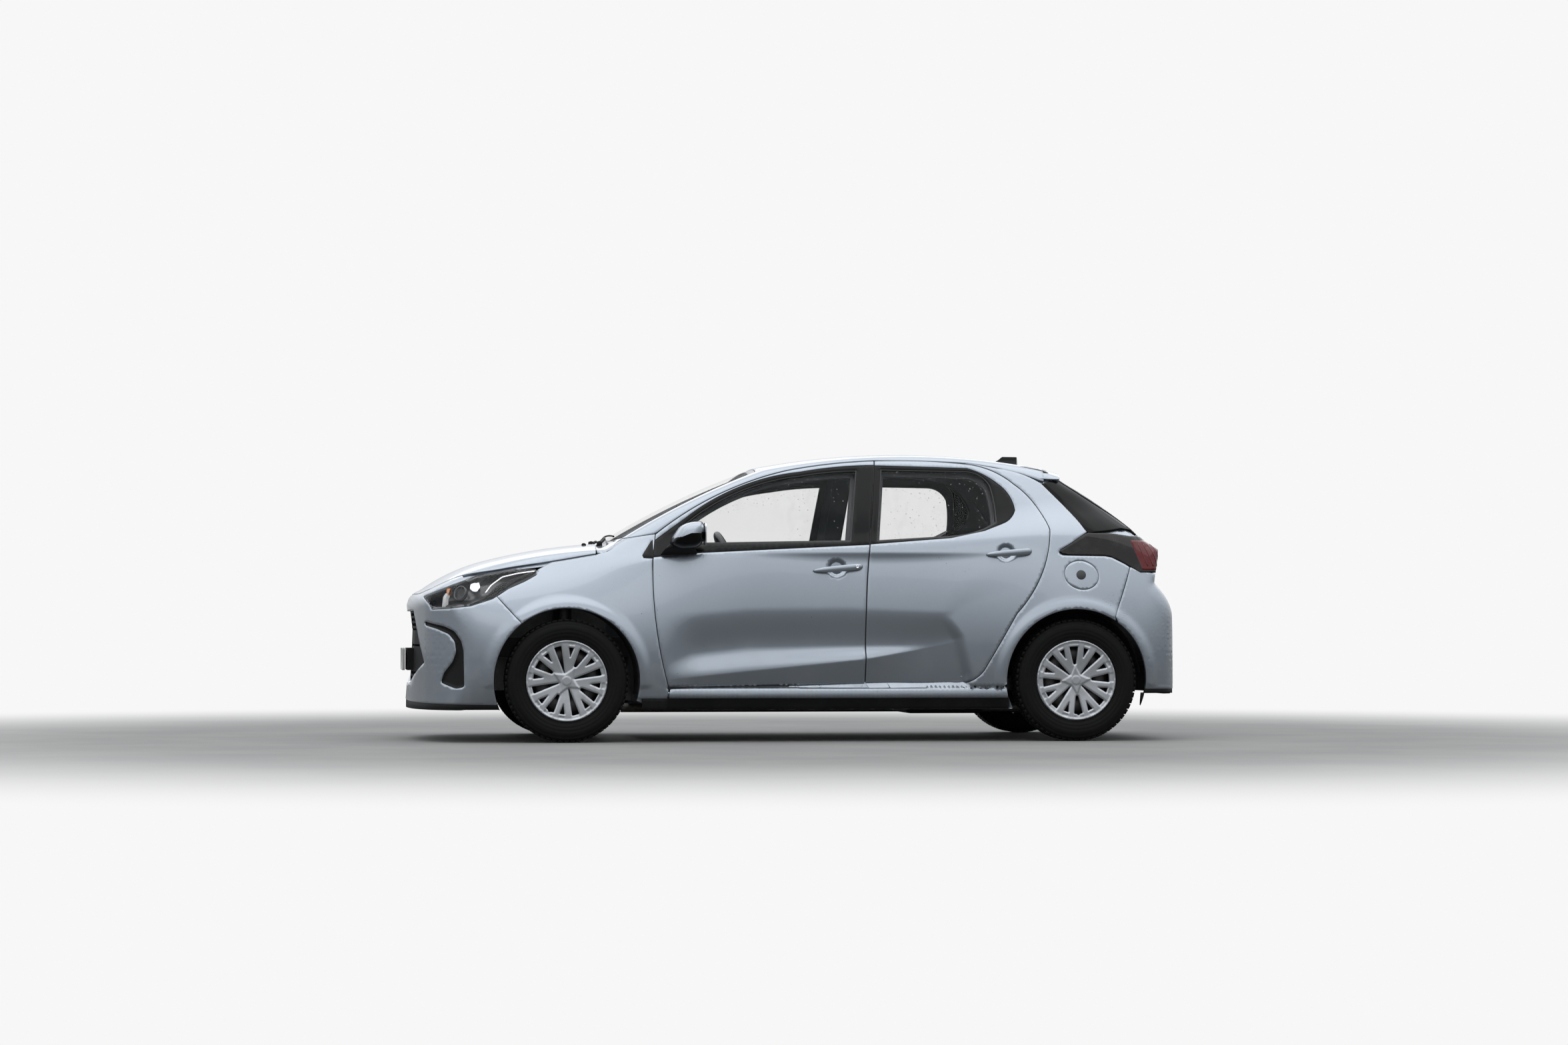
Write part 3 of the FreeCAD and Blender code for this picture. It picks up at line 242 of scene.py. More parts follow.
def relief(u, z):
    """How far the side is pressed in at a distance behind the front axle and a height."""
    crease = door_crease(u)
    valley = np.maximum(np.interp(u, [0.5, 0.62, 0.9, 1.3, 1.8], [0.4, 0.44, 0.47, 0.476, 0.48]),
                        crease + 0.004)
    brow = np.interp(u, [0.5, 0.9, 1.4, 1.9], [0.64, 0.672, 0.678, 0.655])
    above = HOLLOW * ease((brow - z) / (brow - valley))
    scoop = CREASE_DEPTH + (HOLLOW - CREASE_DEPTH) * ease((z - crease) / (valley - crease))
    fade = ease((u - 1.42) / 0.4)
    scoop = scoop + (HOLLOW - scoop) * fade
    below = CREASE_DEPTH + (crease - z) * 0.3 * (1 - 0.7 * fade) + (HOLLOW - CREASE_DEPTH) * fade
    pressed = np.where(z > valley, above, np.where(z > crease, scoop, below))
    pressed = pressed * ease((u - 0.44) / 0.26)
    place = np.stack([u, z], -1)
    haunch = distance_to(place, HAUNCH, closed=False)
    line_u = np.interp(z, HAUNCH[:, 1], HAUNCH[:, 0])
    haunch = np.where(u > line_u, haunch, -haunch)
    width = 0.055 + 0.1 * ease((z - 0.58) / 0.2)
    swell = ease((haunch + width * 0.3) / width)
    pressed = pressed * (1 - swell) + 0.002 * swell
    for arch_u, radius in ARCHES:
        reach = np.hypot(u - arch_u, z - HUB) - radius
        pressed = pressed * ease(reach / 0.12 + 0.1) - 0.01 * ease((0.066 - reach) / 0.046)
    sill_step = np.interp(z, [0.16, 0.214, 0.218, 0.232, 0.262, 0.272],
                          [0.03, 0.012, 0.002, -0.002, 0.004, 0.02])
    middle = ease((u - 0.49) / 0.02) * ease((2.26 - u) / 0.1)
    return np.where(z < SILL_TOP, sill_step * middle, pressed)


def smooth_max(a, b, blend):
    near = np.maximum(blend - np.abs(a - b), 0) / blend
    return np.maximum(a, b) + near * near * blend / 4


def half_width(u, z):
    """The side's distance from the middle plane."""
    low = arc_through(sill(u), 0.16, waist(u), 0.62, belt(u), belt_height(u), z)
    shoulder = belt(u) + belt_height(u) - z
    low = -smooth_max(-low, -shoulder, 0.035) - relief(u, z)
    lean = (glass_foot(u) - glass_head(u)) / 0.52
    house = arc_through(glass_foot(u) + 0.02 * lean, 0.88, glass_foot(u) - 0.25 * lean + 0.014, 1.15,
                        glass_foot(u) - 0.62 * lean, 1.52, np.maximum(z, 0.945))
    house = house - 0.45 * np.maximum(0.945 - z, 0) - 1.6 * np.maximum(0.88 - z, 0)
    house = np.where(u < 3.05, house, 0.0)
    return smooth_max(low, house, 0.03)


def body_surface(p):
    """Below zero inside the car and above zero outside, about in metres."""
    u, y, z = p[:, 0] - FRONT, np.abs(p[:, 1]), p[:, 2]
    crowned = np.hypot(y, z + CROWN) - CROWN
    side = y - half_width(u, z)
    top = profile_map(u, crowned)
    edge = np.interp(u, [-0.8, 0.1, 0.4, 3.2], [0.08, 0.03, 0.05, 0.06])
    return smooth_max(smooth_max(side, top, edge), plan_map(u, y), 0.05)


def outward(p):
    """The surface's direction at some points."""
    step = 0.002
    slopes = [(body_surface(p + d) - body_surface(p - d)) / (2 * step) for d in np.eye(3) * step]
    slopes = np.stack(slopes, -1)
    return slopes / np.maximum(np.linalg.norm(slopes, axis=1), 1e-9)[:, None]


test = np.array([[FRONT + 1.0, -0.9, 0.62]])
print("0.9 m from the middle at the doors is outside by", body_surface(test).round(3))

# %% [markdown]
# ### Views in which panels are drawn
# A panel's outline is drawn flat, as a designer draws it: the doors from the side, the hood from above, the
# tailgate from behind. The bumpers and lamps wrap round a corner, so their view goes round an upright axis.
# Each view can send a flat point to the surface along its own line of sight, and a surface point back to
# flat.

# %% Views
class View:
    """A way to look at the body: flat points to the surface and back."""

    def __init__(self, kind, centre=0.0, sign=1):
        self.kind, self.centre, self.sign = kind, centre, sign
        self.stretch = np.array([2.0, 1.0]) if kind == "round" else np.ones(2)

    def rays(self, flat):
        """Where the line of sight through each flat point starts, and its direction."""
        u, v = flat[:, 0], flat[:, 1]
        zero = np.zeros(len(u))
        if self.kind == "side":
            return np.stack([u + FRONT, zero - 1.0, v], -1), np.tile([0.0, 1.0, 0.0], (len(u), 1))
        if self.kind == "top":
            return np.stack([u + FRONT, v, zero + 1.55], -1), np.tile([0.0, 0.0, -1.0], (len(u), 1))
        if self.kind in ("front", "rear"):
            place, sign = (-0.95, 1.0) if self.kind == "front" else (3.2, -1.0)
            return np.stack([zero + FRONT + place, u, v], -1), np.tile([sign, 0.0, 0.0], (len(u), 1))
        direction = np.stack([self.sign * np.cos(u * 2), np.sin(u * 2), zero], -1)
        start = np.array([self.centre + FRONT, 0, 0]) - direction * 1.35
        start[:, 2] = v
        return start, direction

    def flatten(self, p):
        """Surface points as flat ones. Round a corner, the first number is half the angle."""
        if self.kind == "side":
            return np.stack([p[:, 0] - FRONT, p[:, 2]], -1)
        if self.kind == "top":
            return np.stack([p[:, 0] - FRONT, p[:, 1]], -1)
        if self.kind in ("front", "rear"):
            return np.stack([p[:, 1], p[:, 2]], -1)
        angle = np.arctan2(-p[:, 1], -self.sign * (p[:, 0] - FRONT - self.centre))
        return np.stack([angle / 2, p[:, 2]], -1)

    def hit(self, flat, inset=0.0):
        """Where the lines of sight meet the surface, or a surface inset from it."""
        start, direction = self.rays(np.asarray(flat, float))
        t = np.zeros(len(start))
        for _ in range(40):  # short steps, because the function is only about a distance
            t += 0.8 * (body_surface(start + direction * t[:, None]) + inset)
            t = np.minimum(t, 1.6)
        return start + direction * t[:, None]


SIDEWAYS, ABOVE, BEHIND, AHEAD = View("side"), View("top"), View("rear"), View("front")
NOSE_ROUND, TAIL_ROUND = View("round", -0.15), View("round", 2.72, -1)


def seen_from(target, line, source=SIDEWAYS):
    """A line drawn in one view, as points of another."""
    return target.flatten(source.hit(line))


def settle(points, inset=0.0):
    """Points moved to the surface, or to a level below it, by the shortest way."""
    points = np.array(points, float)
    for _ in range(8):
        points -= (body_surface(points) + inset)[:, None] * outward(points)
    return points


hit = SIDEWAYS.hit([[1.0, 0.62], [1.0, 0.45], [1.0, 0.33]])
print("the door's surface at three heights:", hit[:, 1].round(4))

# %% [markdown]
# ## Surface maths for the materials
# A small class wraps a shader socket, so a formula such as 1 - mask * 0.5 writes its own Math nodes. Every
# other node comes from one method that takes its type, its settings and the values or links of its inputs.

# %% Shader helpers
class Wire:
    """A value socket that can be used in a formula."""

    def __init__(self, graph, socket):
        self.graph, self.socket = graph, socket

    def math(self, operation, *others, flip=False):
        values = [self, *others]
        return self.graph.node("ShaderNodeMath", {"operation": operation}, values[::-1] if flip else values)

    def __add__(self, other):
        return self.math("ADD", other)

    def __sub__(self, other):
        return self.math("SUBTRACT", other)

    def __rsub__(self, other):
        return self.math("SUBTRACT", other, flip=True)

    def __mul__(self, other):
        return self.math("MULTIPLY", other)

    __radd__, __rmul__ = __add__, __mul__

    def ramp(self, low, high):
        """0 below low, 1 above high, smooth between."""
        return self.graph.node("ShaderNodeMapRange", {"interpolation_type": "SMOOTHSTEP"},
                               {"Value": self, "From Min": low, "From Max": high})


class Graph:
    """A material's nodes, with its Principled shader ready."""

    def __init__(self, name, **constants):
        self.material = bpy.data.materials.new(name)
        self.material.use_nodes = True
        self.nodes, self.links = self.material.node_tree.nodes, self.material.node_tree.links
        self.shader = self.nodes["Principled BSDF"]
        self.material_output = self.nodes["Material Output"]
        for key, value in constants.items():
            self.shader.inputs[key.replace("_", " ")].default_value = value
        self.place = self.node("ShaderNodeTexCoord", output="Object")

    def node(self, kind, settings=None, inputs=(), output=0):
        item = self.nodes.new(kind)
        for key, value in (settings or {}).items():
            setattr(item, key, value)
        pairs = inputs.items() if isinstance(inputs, dict) else enumerate(inputs)
        for key, value in pairs:
            if isinstance(value, Wire):
                self.links.new(value.socket, item.inputs[key])
            else:
                item.inputs[key].default_value = value
        return Wire(self, item.outputs[output])

    def noise(self, scale, detail=3.0, rough=0.55, stretch=None):
        place = self.place
        if stretch:
            place = self.node("ShaderNodeMapping", {}, {"Vector": place, "Scale": stretch})
        return self.node("ShaderNodeTexNoise", {}, {"Vector": place, "Scale": scale, "Detail": detail,
                                                    "Roughness": rough})

    def mix(self, amount, first, second):
        item = self.nodes.new("ShaderNodeMix")
        item.data_type = "RGBA"
        for index, value in ((0, amount), (6, first), (7, second)):
            if isinstance(value, Wire):
                self.links.new(value.socket, item.inputs[index])
            else:
                item.inputs[index].default_value = (*value, 1.0) if isinstance(value, tuple) else value
        return Wire(self, item.outputs[2])

    def feed(self, **wires):
        for key, wire in wires.items():
            self.links.new(wire.socket, self.shader.inputs[key.replace("_", " ")])
        return self

    def bump(self, height, distance, strength=1.0):
        return self.feed(Normal=self.node("ShaderNodeBump", {}, {"Height": height, "Distance": distance,
                                                                 "Strength": strength}))


print("shader helpers ready")

# %% [markdown]
# ## Paint and dark trim
# Silver paint is fine metal flake under clear lacquer. The base is mostly metal, a grey with a blue tint, a
# fine noise tilts its flakes, and the coat above stays smooth. The car is a little dirty: specks on the
# doors, dust and scuffs low down. Gloss black window posts and matt plastic differ mostly in roughness and
# grain.

# %% Paint and trim materials
MATERIALS = {}


def paint():
    g = Graph("silver_paint", Metallic=0.75, Coat_Weight=1.0, Coat_Roughness=0.04, Coat_IOR=1.5)
    flakes = g.noise(2600.0, 2.0, 0.6)
    cloud = g.noise(3.0, 2.0)
    base = g.mix(flakes.ramp(0.35, 0.75), (0.185, 0.212, 0.245), (0.3, 0.335, 0.375))
    base = g.mix(cloud.ramp(0.3, 0.7) * 0.12, base, (0.28, 0.31, 0.35))
    apart = g.node("ShaderNodeSeparateXYZ", {}, [g.place], output="Z")
    low = 1 - apart.ramp(0.22, 0.62)
    dust = g.noise(14.0, 5.0, 0.65).ramp(0.42, 0.78) * low * 0.3
    base = g.mix(dust, base, (0.3, 0.29, 0.27))
    specks = g.noise(95.0, 1.0, 0.4).ramp(0.77, 0.8) * g.noise(2.3, 2.0).ramp(0.52, 0.62)
    base = g.mix(specks * 0.75, base, (0.05, 0.05, 0.05))
    corner = g.node("ShaderNodeVectorMath", {"operation": "DISTANCE"},
                    {0: g.place, 1: (FRONT + 2.765, -0.84, 0.665)}, output="Value")
    scratch = g.noise(60.0, 4.0, 0.7, (1.0, 1.0, 7.0)).ramp(0.6, 0.66) * (1 - corner.ramp(0.05, 0.13))
    base = g.mix(scratch * 0.8, base, (0.09, 0.09, 0.09))
    g.feed(Base_Color=base, Roughness=0.3 + flakes * 0.08 + dust * 0.5 + scratch * 0.3)
    return g.bump(flakes, 0.0004, 0.25).material


def plain(name, dark, light, rough, spread, grain, depth, **constants):
    """A moulded or painted finish: two close colours, a roughness that wanders and a fine grain."""
    g = Graph(name, **constants)
    cloud = g.noise(6.0, 4.0)
    fine = g.noise(grain, 3.0)
    g.feed(Base_Color=g.mix(cloud.ramp(0.3, 0.75), dark, light), Roughness=rough + (cloud - 0.5) * spread)
    return g.bump(fine, depth, 0.5).material


MATERIALS["paint"] = paint()
MATERIALS["gloss_black"] = plain("gloss_black", (0.002, 0.002, 0.002), (0.004, 0.004, 0.004), 0.22, 0.08,
                                 300.0, 0.0002, Coat_Weight=0.08, Coat_Roughness=0.08, Specular_IOR_Level=0.1)
MATERIALS["black_trim"] = plain("black_trim", (0.008, 0.008, 0.008), (0.015, 0.015, 0.016), 0.62, 0.2, 900.0,
                                0.0006, Specular_IOR_Level=0.15)
# The rubber seal finish also colours the black strips of painted shade behind the panel gaps.
MATERIALS["seal"] = plain("rubber_seal", (0.01, 0.01, 0.01), (0.022, 0.022, 0.022), 0.62, 0.15, 500.0, 0.0004)
MATERIALS["chrome"] = plain("chrome", (0.62, 0.63, 0.65), (0.75, 0.76, 0.78), 0.1, 0.06, 200.0, 0.0001,
                            Metallic=1.0)
MATERIALS["iron"] = plain("coated_iron", (0.045, 0.045, 0.047), (0.085, 0.082, 0.078), 0.6, 0.25, 260.0,
                          0.001, Metallic=0.4)
MATERIALS["steel"] = plain("bare_steel", (0.22, 0.21, 0.2), (0.36, 0.35, 0.34), 0.42, 0.3, 320.0, 0.0006,
                           Metallic=0.9)
MATERIALS["cabin"] = plain("grained_plastic", (0.03, 0.031, 0.033), (0.05, 0.05, 0.053), 0.62, 0.2, 700.0,
                           0.0012)
print(len(MATERIALS), "materials so far")

# %% [markdown]
# ## Glass
# Side glass is clear with a faint green tint, so the seats show through it. The rear window of such a car
# is darker. Thin glass seen from outside needs no refraction: a glossy surface that lets most light
# straight through, by its alpha, is quick to render and doesn't bend what lies behind. Drops of rain are
# added later.

# %% Glass materials
def glass(name, tint, grey=0.0, shine=0.5):
    g = Graph(name, IOR=1.5, Coat_Weight=shine, Specular_IOR_Level=shine)
    film = g.noise(3.0, 4.0)
    streak = g.noise(16.0, 3.0, 0.6, (1.0, 1.0, 0.2))
    dirt = (film * streak).ramp(0.22, 0.45) * 0.1
    g.feed(Base_Color=g.mix(dirt, tint, (0.3, 0.3, 0.29)), Roughness=0.03 + dirt * 0.8,
           Alpha=(0.11 + grey) + dirt * 0.5)
    g.material.surface_render_method = "BLENDED"
    return g.material


MATERIALS["glass"] = glass("side_glass", (0.01, 0.016, 0.015))
MATERIALS["dark_glass"] = glass("tinted_glass", (0.003, 0.004, 0.004), 0.72, 0.15)
print("glass ready")

# %% [markdown]
# ## Turning outlines into panels
# A panel is cut from the body's surface as sheet metal is cut from a blank: its outline and the outlines of
# its openings are drawn flat, the flat area is filled with triangles, and every point is sent to the
# surface. The rim is turned inwards so that the gap beside it shows a wall of metal, and its edge is
# softened by a small step.

# %% Mesh helpers
def make_object(name, points, faces, material, body, slot=None):
    """A piece of a finish on a body. Its slot argument is not used."""
    mesh = bpy.data.meshes.new(name)
    mesh.from_pydata([tuple(p) for p in np.asarray(points, float)], [],
                     [tuple(int(i) for i in f) for f in faces])
    mesh.validate()
    mesh.shade_smooth()
    mesh.materials.append(MATERIALS[material])
    piece = bpy.data.objects.new(name, mesh)
    bpy.context.collection.objects.link(piece)
    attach(piece, body)
    return piece


def mirrored(points, faces):
    return np.asarray(points) * (1, -1, 1), [f[::-1] for f in faces]


def joined(*parts):
    """Several (points, faces) as one."""
    points, faces, count = [], [], 0
    for some_points, some_faces in parts:
        points.append(np.asarray(some_points))
        faces += [[i + count for i in f] for f in some_faces]
        count += len(some_points)
    return np.vstack(points), faces


def grown(loop, amount):
    """A loop moved outwards by a margin, or inwards by a negative one."""
    before, after = np.roll(loop, 1, axis=0), np.roll(loop, -1, axis=0)
    first, second = loop - before, after - loop
    first /= np.maximum(np.linalg.norm(first, axis=1), 1e-9)[:, None]
    second /= np.maximum(np.linalg.norm(second, axis=1), 1e-9)[:, None]
    area = np.sum(loop[:, 0] * after[:, 1] - after[:, 0] * loop[:, 1])
    turn = 1 if area > 0 else -1
    sides = [np.stack([d[:, 1], -d[:, 0]], -1) * turn for d in (first, second)]
    middle = sides[0] + sides[1]
    scale = amount / np.maximum(np.sum(middle * sides[0], axis=1), 0.5)
    return loop + middle * scale[:, None]


def rounded(corners, radius, count=5):
    """A closed outline with its corners rounded."""
    corners = np.asarray(corners, float)
    points = []
    for before, corner, after in zip(np.roll(corners, 1, axis=0), corners, np.roll(corners, -1, axis=0)):
        first, second = before - corner, after - corner
        a, b = np.linalg.norm(first), np.linalg.norm(second)
        reach = min(radius, a * 0.45, b * 0.45)
        start, end = corner + first / a * reach, corner + second / b * reach
        for t in np.linspace(0, 1, count):
            points.append(start * (1 - t) ** 2 + corner * 2 * t * (1 - t) + end * t * t)
    return np.array(points)


def filled_in(loop, pitch, stretch):
    """A loop with points added along its long edges, so that they follow a curved surface."""
    parts = []
    for a, b in zip(loop, np.roll(loop, -1, axis=0)):
        count = max(1, round(np.linalg.norm((b - a) * stretch) / (pitch * 1.2)))
        parts.append(a + (b - a) * np.arange(count)[:, None] / count)
    return np.vstack(parts)


def sheet(view, within, without=(), lines=(), pitch=0.012):
    """Flat points and triangles inside some loops and outside others, with lines kept as edges."""
    stretch = view.stretch
    loops = [filled_in(np.asarray(loop, float), pitch, stretch) for loop in (*within, *without)]
    low, high = np.min([l.min(0) for l in within], 0), np.max([l.max(0) for l in within], 0)
    columns, rows = (np.arange(low[k], high[k], pitch / stretch[k]) for k in range(2))
    grid = np.stack(np.meshgrid(columns, rows, indexing="ij"), -1).reshape(-1, 2)
    grid[:, 1] += (np.arange(len(grid)) // len(rows) % 2) * pitch / 2
    keep = np.ones(len(grid), bool)
    for loop in within:
        keep &= inside(grid, loop)
    for loop in without:
        keep &= ~inside(grid, loop)
    grid = grid[keep]
    clear = np.ones(len(grid), bool)
    for line in loops:
        clear &= distance_to(grid * stretch, line * stretch) > pitch * 0.55
    for line in lines:
        clear &= distance_to(grid * stretch, line * stretch, closed=False) > pitch * 0.45
    grid = grid[clear]
    points, edges = [], []
    for line, closed in [(l, True) for l in loops] + [(l, False) for l in lines]:
        first = len(points)
        points += [tuple(p) for p in line]
        edges += [(first + i, first + i + 1) for i in range(len(line) - 1)]
        if closed:
            edges.append((len(points) - 1, first))
    points += [tuple(p) for p in grid]
    spots, _, faces, *_ = delaunay_2d_cdt([Vector(p) for p in points], edges, [], 0, 1e-6)
    spots = np.array([tuple(p) for p in spots])
    faces = np.array([tuple(f) for f in faces if len(f) == 3])
    centres = spots[faces].mean(1)
    keep = np.ones(len(faces), bool)
    for loop in within:
        keep &= inside(centres, loop)
    for loop in without:
        keep &= ~inside(centres, loop)
    faces = faces[keep]
    used, faces = np.unique(faces, return_inverse=True)
    return spots[used], faces.reshape(-1, 3)


def boundary(faces):
    """The directed edges that only one face has."""
    count = {}
    for face in faces:
        for a, b in zip(face, (*face[1:], face[0])):
            key = (min(a, b), max(a, b))
            count[key] = None if key in count else (a, b)
    return [edge for edge in count.values() if edge]


def rimmed(points, normals, faces, depth, lip=0.0008):
    """Faces with a wall turned inwards all round, its edge softened by a small step."""
    edges = boundary(faces)
    rim = sorted({i for edge in edges for i in edge})
    place = {i: k for k, i in enumerate(rim)}
    away = np.zeros((len(rim), 3))
    for a, b in edges:
        side = np.cross(points[b] - points[a], normals[a])
        side /= max(np.linalg.norm(side), 1e-9)
        away[place[a]] += side
        away[place[b]] += side
    away /= np.maximum(np.linalg.norm(away, axis=1), 1e-9)[:, None]
    base, n = points[rim], normals[rim]
    rings = [base + away * lip - n * lip * 1.4, base + away * lip * 1.2 - n * depth]
    start = len(points)
    faces = [tuple(f) for f in faces]
    for a, b in edges:
        a0, b0 = start + place[a], start + place[b]
        a1, b1 = a0 + len(rim), b0 + len(rim)
        faces += [(b, a, a0, b0), (b0, a0, a1, b1)]
    return np.vstack([points, *rings]), faces


def laid(view, flat, faces, inset, depth):
    """Flat triangles sent to the surface and turned outwards, with a rim if they have a depth."""
    points = view.hit(flat, inset)
    normals = outward(points)
    a, b, c = (points[faces[:, k]] for k in range(3))
    turned_in = np.sum(np.cross(b - a, c - a) * normals[faces[:, 0]], axis=1) < 0
    faces[turned_in] = faces[turned_in][:, ::-1]
    return rimmed(points, normals, faces, depth) if depth else (points, [tuple(f) for f in faces])


def pressed(view, within, without=(), lines=(), inset=0.0, depth=0.014, pitch=0.012):
    """A panel's points and faces on the body's surface, with its rim."""
    return laid(view, *sheet(view, within, without, lines, pitch), inset, depth)


def dished(view, loop, deep, edge, start, pitch=0.008):
    """A bowl that starts at a loop on the surface and sinks inwards over a width."""
    flat, faces = sheet(view, [loop], pitch=pitch)
    sunk = start + deep * ease(distance_to(flat * view.stretch, loop * view.stretch) / edge)
    return laid(view, flat, faces, sunk, 0.0)


def add_pair(name, part, material, bodies=("body", "body"), slot=None):
    """A left part with its mirror image: one piece on one body, or one on each of two bodies."""
    if bodies[0] == bodies[1]:
        return [make_object(name, *joined(part, mirrored(*part)), material, bodies[0], slot)]
    return [make_object(f"{name}_{side}", *(part if side == "left" else mirrored(*part)), material, body,
                        slot)
            for side, body in zip(("left", "right"), bodies)]


square = rimmed(np.array([[0, 0, 0], [1, 0, 0], [1, 1, 0], [0, 1, 0.0]]), np.tile([0, 0, 1.0], (4, 1)),
                [(0, 1, 2, 3)], 0.1)
print("a square's rim has", len(square[1]) - 1, "faces")

# %% [markdown]
# ## Doors
# Each door is a paint panel with its window frame, a gloss black surround that hides the pillar, and a
# glass set a little deeper. The black reaches over the gap between the doors, which makes the row of
# windows look like one.

# %% Outlines of the doors
FRONT_DOOR = [
    (506, 272), (437, 640, 432, 909), (450, 1036), (768, 1237, 1130, 1364), (1350, 1398, 1570, 1415),
    (1519, 983), (1499, 760, 1493, 600), (1493, 285)]
REAR_DOOR = [
    (1495, 285), (1495, 600), (1501, 760, 1521, 983), (1572, 1415), (1956, 1409, 2064, 1399),
    (2173, 1367, 2283, 1297), (2370, 1212, 2442, 1065), (2410, 900, 2256, 640), (2140, 440, 2104, 379),
    (2038, 309, 1931, 289)]
FRONT_BLACK = [
    (426, 918), (672, 941), (1530, 984), (1580, 1393), (1330, 1378, 1185, 1356), (900, 1288, 600, 1118),
    (447, 1008)]
REAR_BLACK = [
    (1500, 984), (1935, 1019), (2108, 1056), (2206, 1094), (2260, 1132, 2278, 1164), (2262, 1225, 2200, 1300),
    (2120, 1352, 2046, 1380), (1590, 1391), (1550, 1392)]
FRONT_PANE = [(560, 985), (600, 1093), (900, 1268, 1185, 1338), (1330, 1358, 1478, 1366), (1428, 1000)]
REAR_PANE = [
    (1553, 1000), (1598, 1372), (2046, 1365), (2110, 1345, 2160, 1290), (2177, 1180, 2177, 1098),
    (2108, 1062), (2020, 1036, 1935, 1024)]
SAIL = [(379, 930), (385, 915), (436, 912), (436, 1010), (425, 1000)]
HALF_GAP = 0.0026
front_loop, rear_loop = (grown(polyline(steps), -HALF_GAP) for steps in (FRONT_DOOR, REAR_DOOR))
front_black, rear_black = polyline(FRONT_BLACK), polyline(REAR_BLACK)
front_pane, rear_pane = polyline(FRONT_PANE), polyline(REAR_PANE)
crease_u = np.arange(0.5, 1.96, 0.012)
crease_lines = [np.stack([crease_u, door_crease(crease_u) + lift], -1) for lift in (-0.004, 0.0005, 0.005)]


def crease_in(loop):
    """The stretch of the crease lines inside a loop."""
    inner = grown(loop, -0.008)
    return [line[inside(line, inner)] for line in crease_lines]


def ring(u, z, radius, count=120, squash=1.0):
    angle = np.arange(count) * 2 * math.pi / count
    return np.stack([u + radius * np.cos(angle), z + radius * squash * np.sin(angle)], -1)


CUPS = {"front_door": ring(1.35, 0.865, 0.049, 40, 0.96), "rear_door": ring(2.21, 0.945, 0.048, 40, 0.96)}
doors = {}
for name, loop, black, pane in (("front_door", front_loop, front_black, front_pane),
                                ("rear_door", rear_loop, rear_black, rear_pane)):
    bodies = (f"{name}_left", f"{name}_right")
    doors[name] = pressed(SIDEWAYS, [loop], [black, CUPS[name]], crease_in(loop), pitch=0.011)
    add_pair(f"{name}_skin", doors[name], "paint", bodies)
    surround = pressed(SIDEWAYS, [loop, grown(black, -0.0005)], [pane], inset=0.0015, depth=0.012,
                       pitch=0.016)
    add_pair(f"{name}_surround", surround, "gloss_black", bodies)
    seal_loop = grown(pane, 0.004)
    seal = pressed(SIDEWAYS, [seal_loop], [grown(pane, -0.007)], inset=0.0035, depth=0.01, pitch=0.03)
    add_pair(f"{name}_seal", seal, "seal", bodies)
    add_pair(f"{name}_pane", pressed(SIDEWAYS, [pane], inset=0.006, depth=0.004, pitch=0.03), "glass", bodies)
    foot = np.array([pane[:, 0].mean(), pane[:, 1].min()])
    opening = (pane - foot) * (0.93, 0.9) + foot
    frame_trim = pressed(SIDEWAYS, [grown(pane, 0.01)], [opening], inset=0.045, depth=0.015, pitch=0.03)
    add_pair(f"{name}_inner_frame", frame_trim, "cabin", bodies)
    print(name, "has", len(doors[name][1]), "faces")

# %% [markdown]
# ## Sides, sill and quarters
# The rear quarter and the sill are one pressing that runs round the doors. The fender ends at the hood, the
# headlamp, the front door and the arch. The fuel flap is cut out of the left quarter only.

# %% Outlines of the sides
def flap_loop(grow=0.0):
    angle, tilt = np.arange(60) * math.pi / 30, math.radians(12)
    x, z = (0.087 + grow) * np.cos(angle), (0.071 + grow) * np.sin(angle)
    return np.stack([2.59 + x * math.cos(tilt) + z * math.sin(tilt),
                     0.833 - x * math.sin(tilt) + z * math.cos(tilt)], -1)


HEADLAMP = [
    (-660, 659), (-577, 664), (-473, 676), (-366, 711), (-286, 764), (-206, 800), (-148, 832), (-138, 851),
    (-150, 861), (-250, 862), (-311, 853), (-428, 830), (-561, 783), (-700, 725)]
TAIL_LAMP = [
    (2481, 955), (2541, 990), (2610, 1036), (2632, 1050), (2773, 1048), (2960, 1036), (2960, 820),
    (2908, 838), (2820, 893), (2755, 925), (2719, 932), (2500, 935), (2484, 942)]
FENDER = [
    (-225, 593), (-342, 724), (-262, 789), (-165, 824), (-136, 858), (-59, 902), (150, 968), (260, 1010),
    (450, 1036), (432, 909), (437, 640, 506, 272), (497, 218), (-225, 218)]
QUARTER = [
    (508, 218), (2900, 218), (2900, 1000), (2700, 1044), (2634, 1052), (2622, 1066), (2590, 1115, 2508, 1215),
    (2428, 1300), (2330, 1350, 2200, 1380), (2066, 1404), (1800, 1404), (1800, 276), (515, 272)]
SKIRT_SIDE = [(2757, 624), (2846, 873), (2998, 838), (2998, 100), (2757, 100)]
arches = [ring(arch_u, HUB, radius) for arch_u, radius in ARCHES]
headlamp_loop, tail_lamp_loop = polyline(HEADLAMP), polyline(TAIL_LAMP)
door_spaces = [grown(polyline(steps), HALF_GAP) for steps in (FRONT_DOOR, REAR_DOOR)]
hood_edge_u = np.linspace(-0.48, 0.16, 60)
hood_edge = np.stack([hood_edge_u,
                      -np.interp(hood_edge_u, [-0.48, -0.3, -0.136, 0.16], [0.655, 0.692, 0.703, 0.712])], -1)
hood_side = seen_from(SIDEWAYS, hood_edge, ABOVE) - (0, 0.005)
hood_side = np.vstack([hood_side, [(0.17, 1.4), (-0.9, 1.4)]])

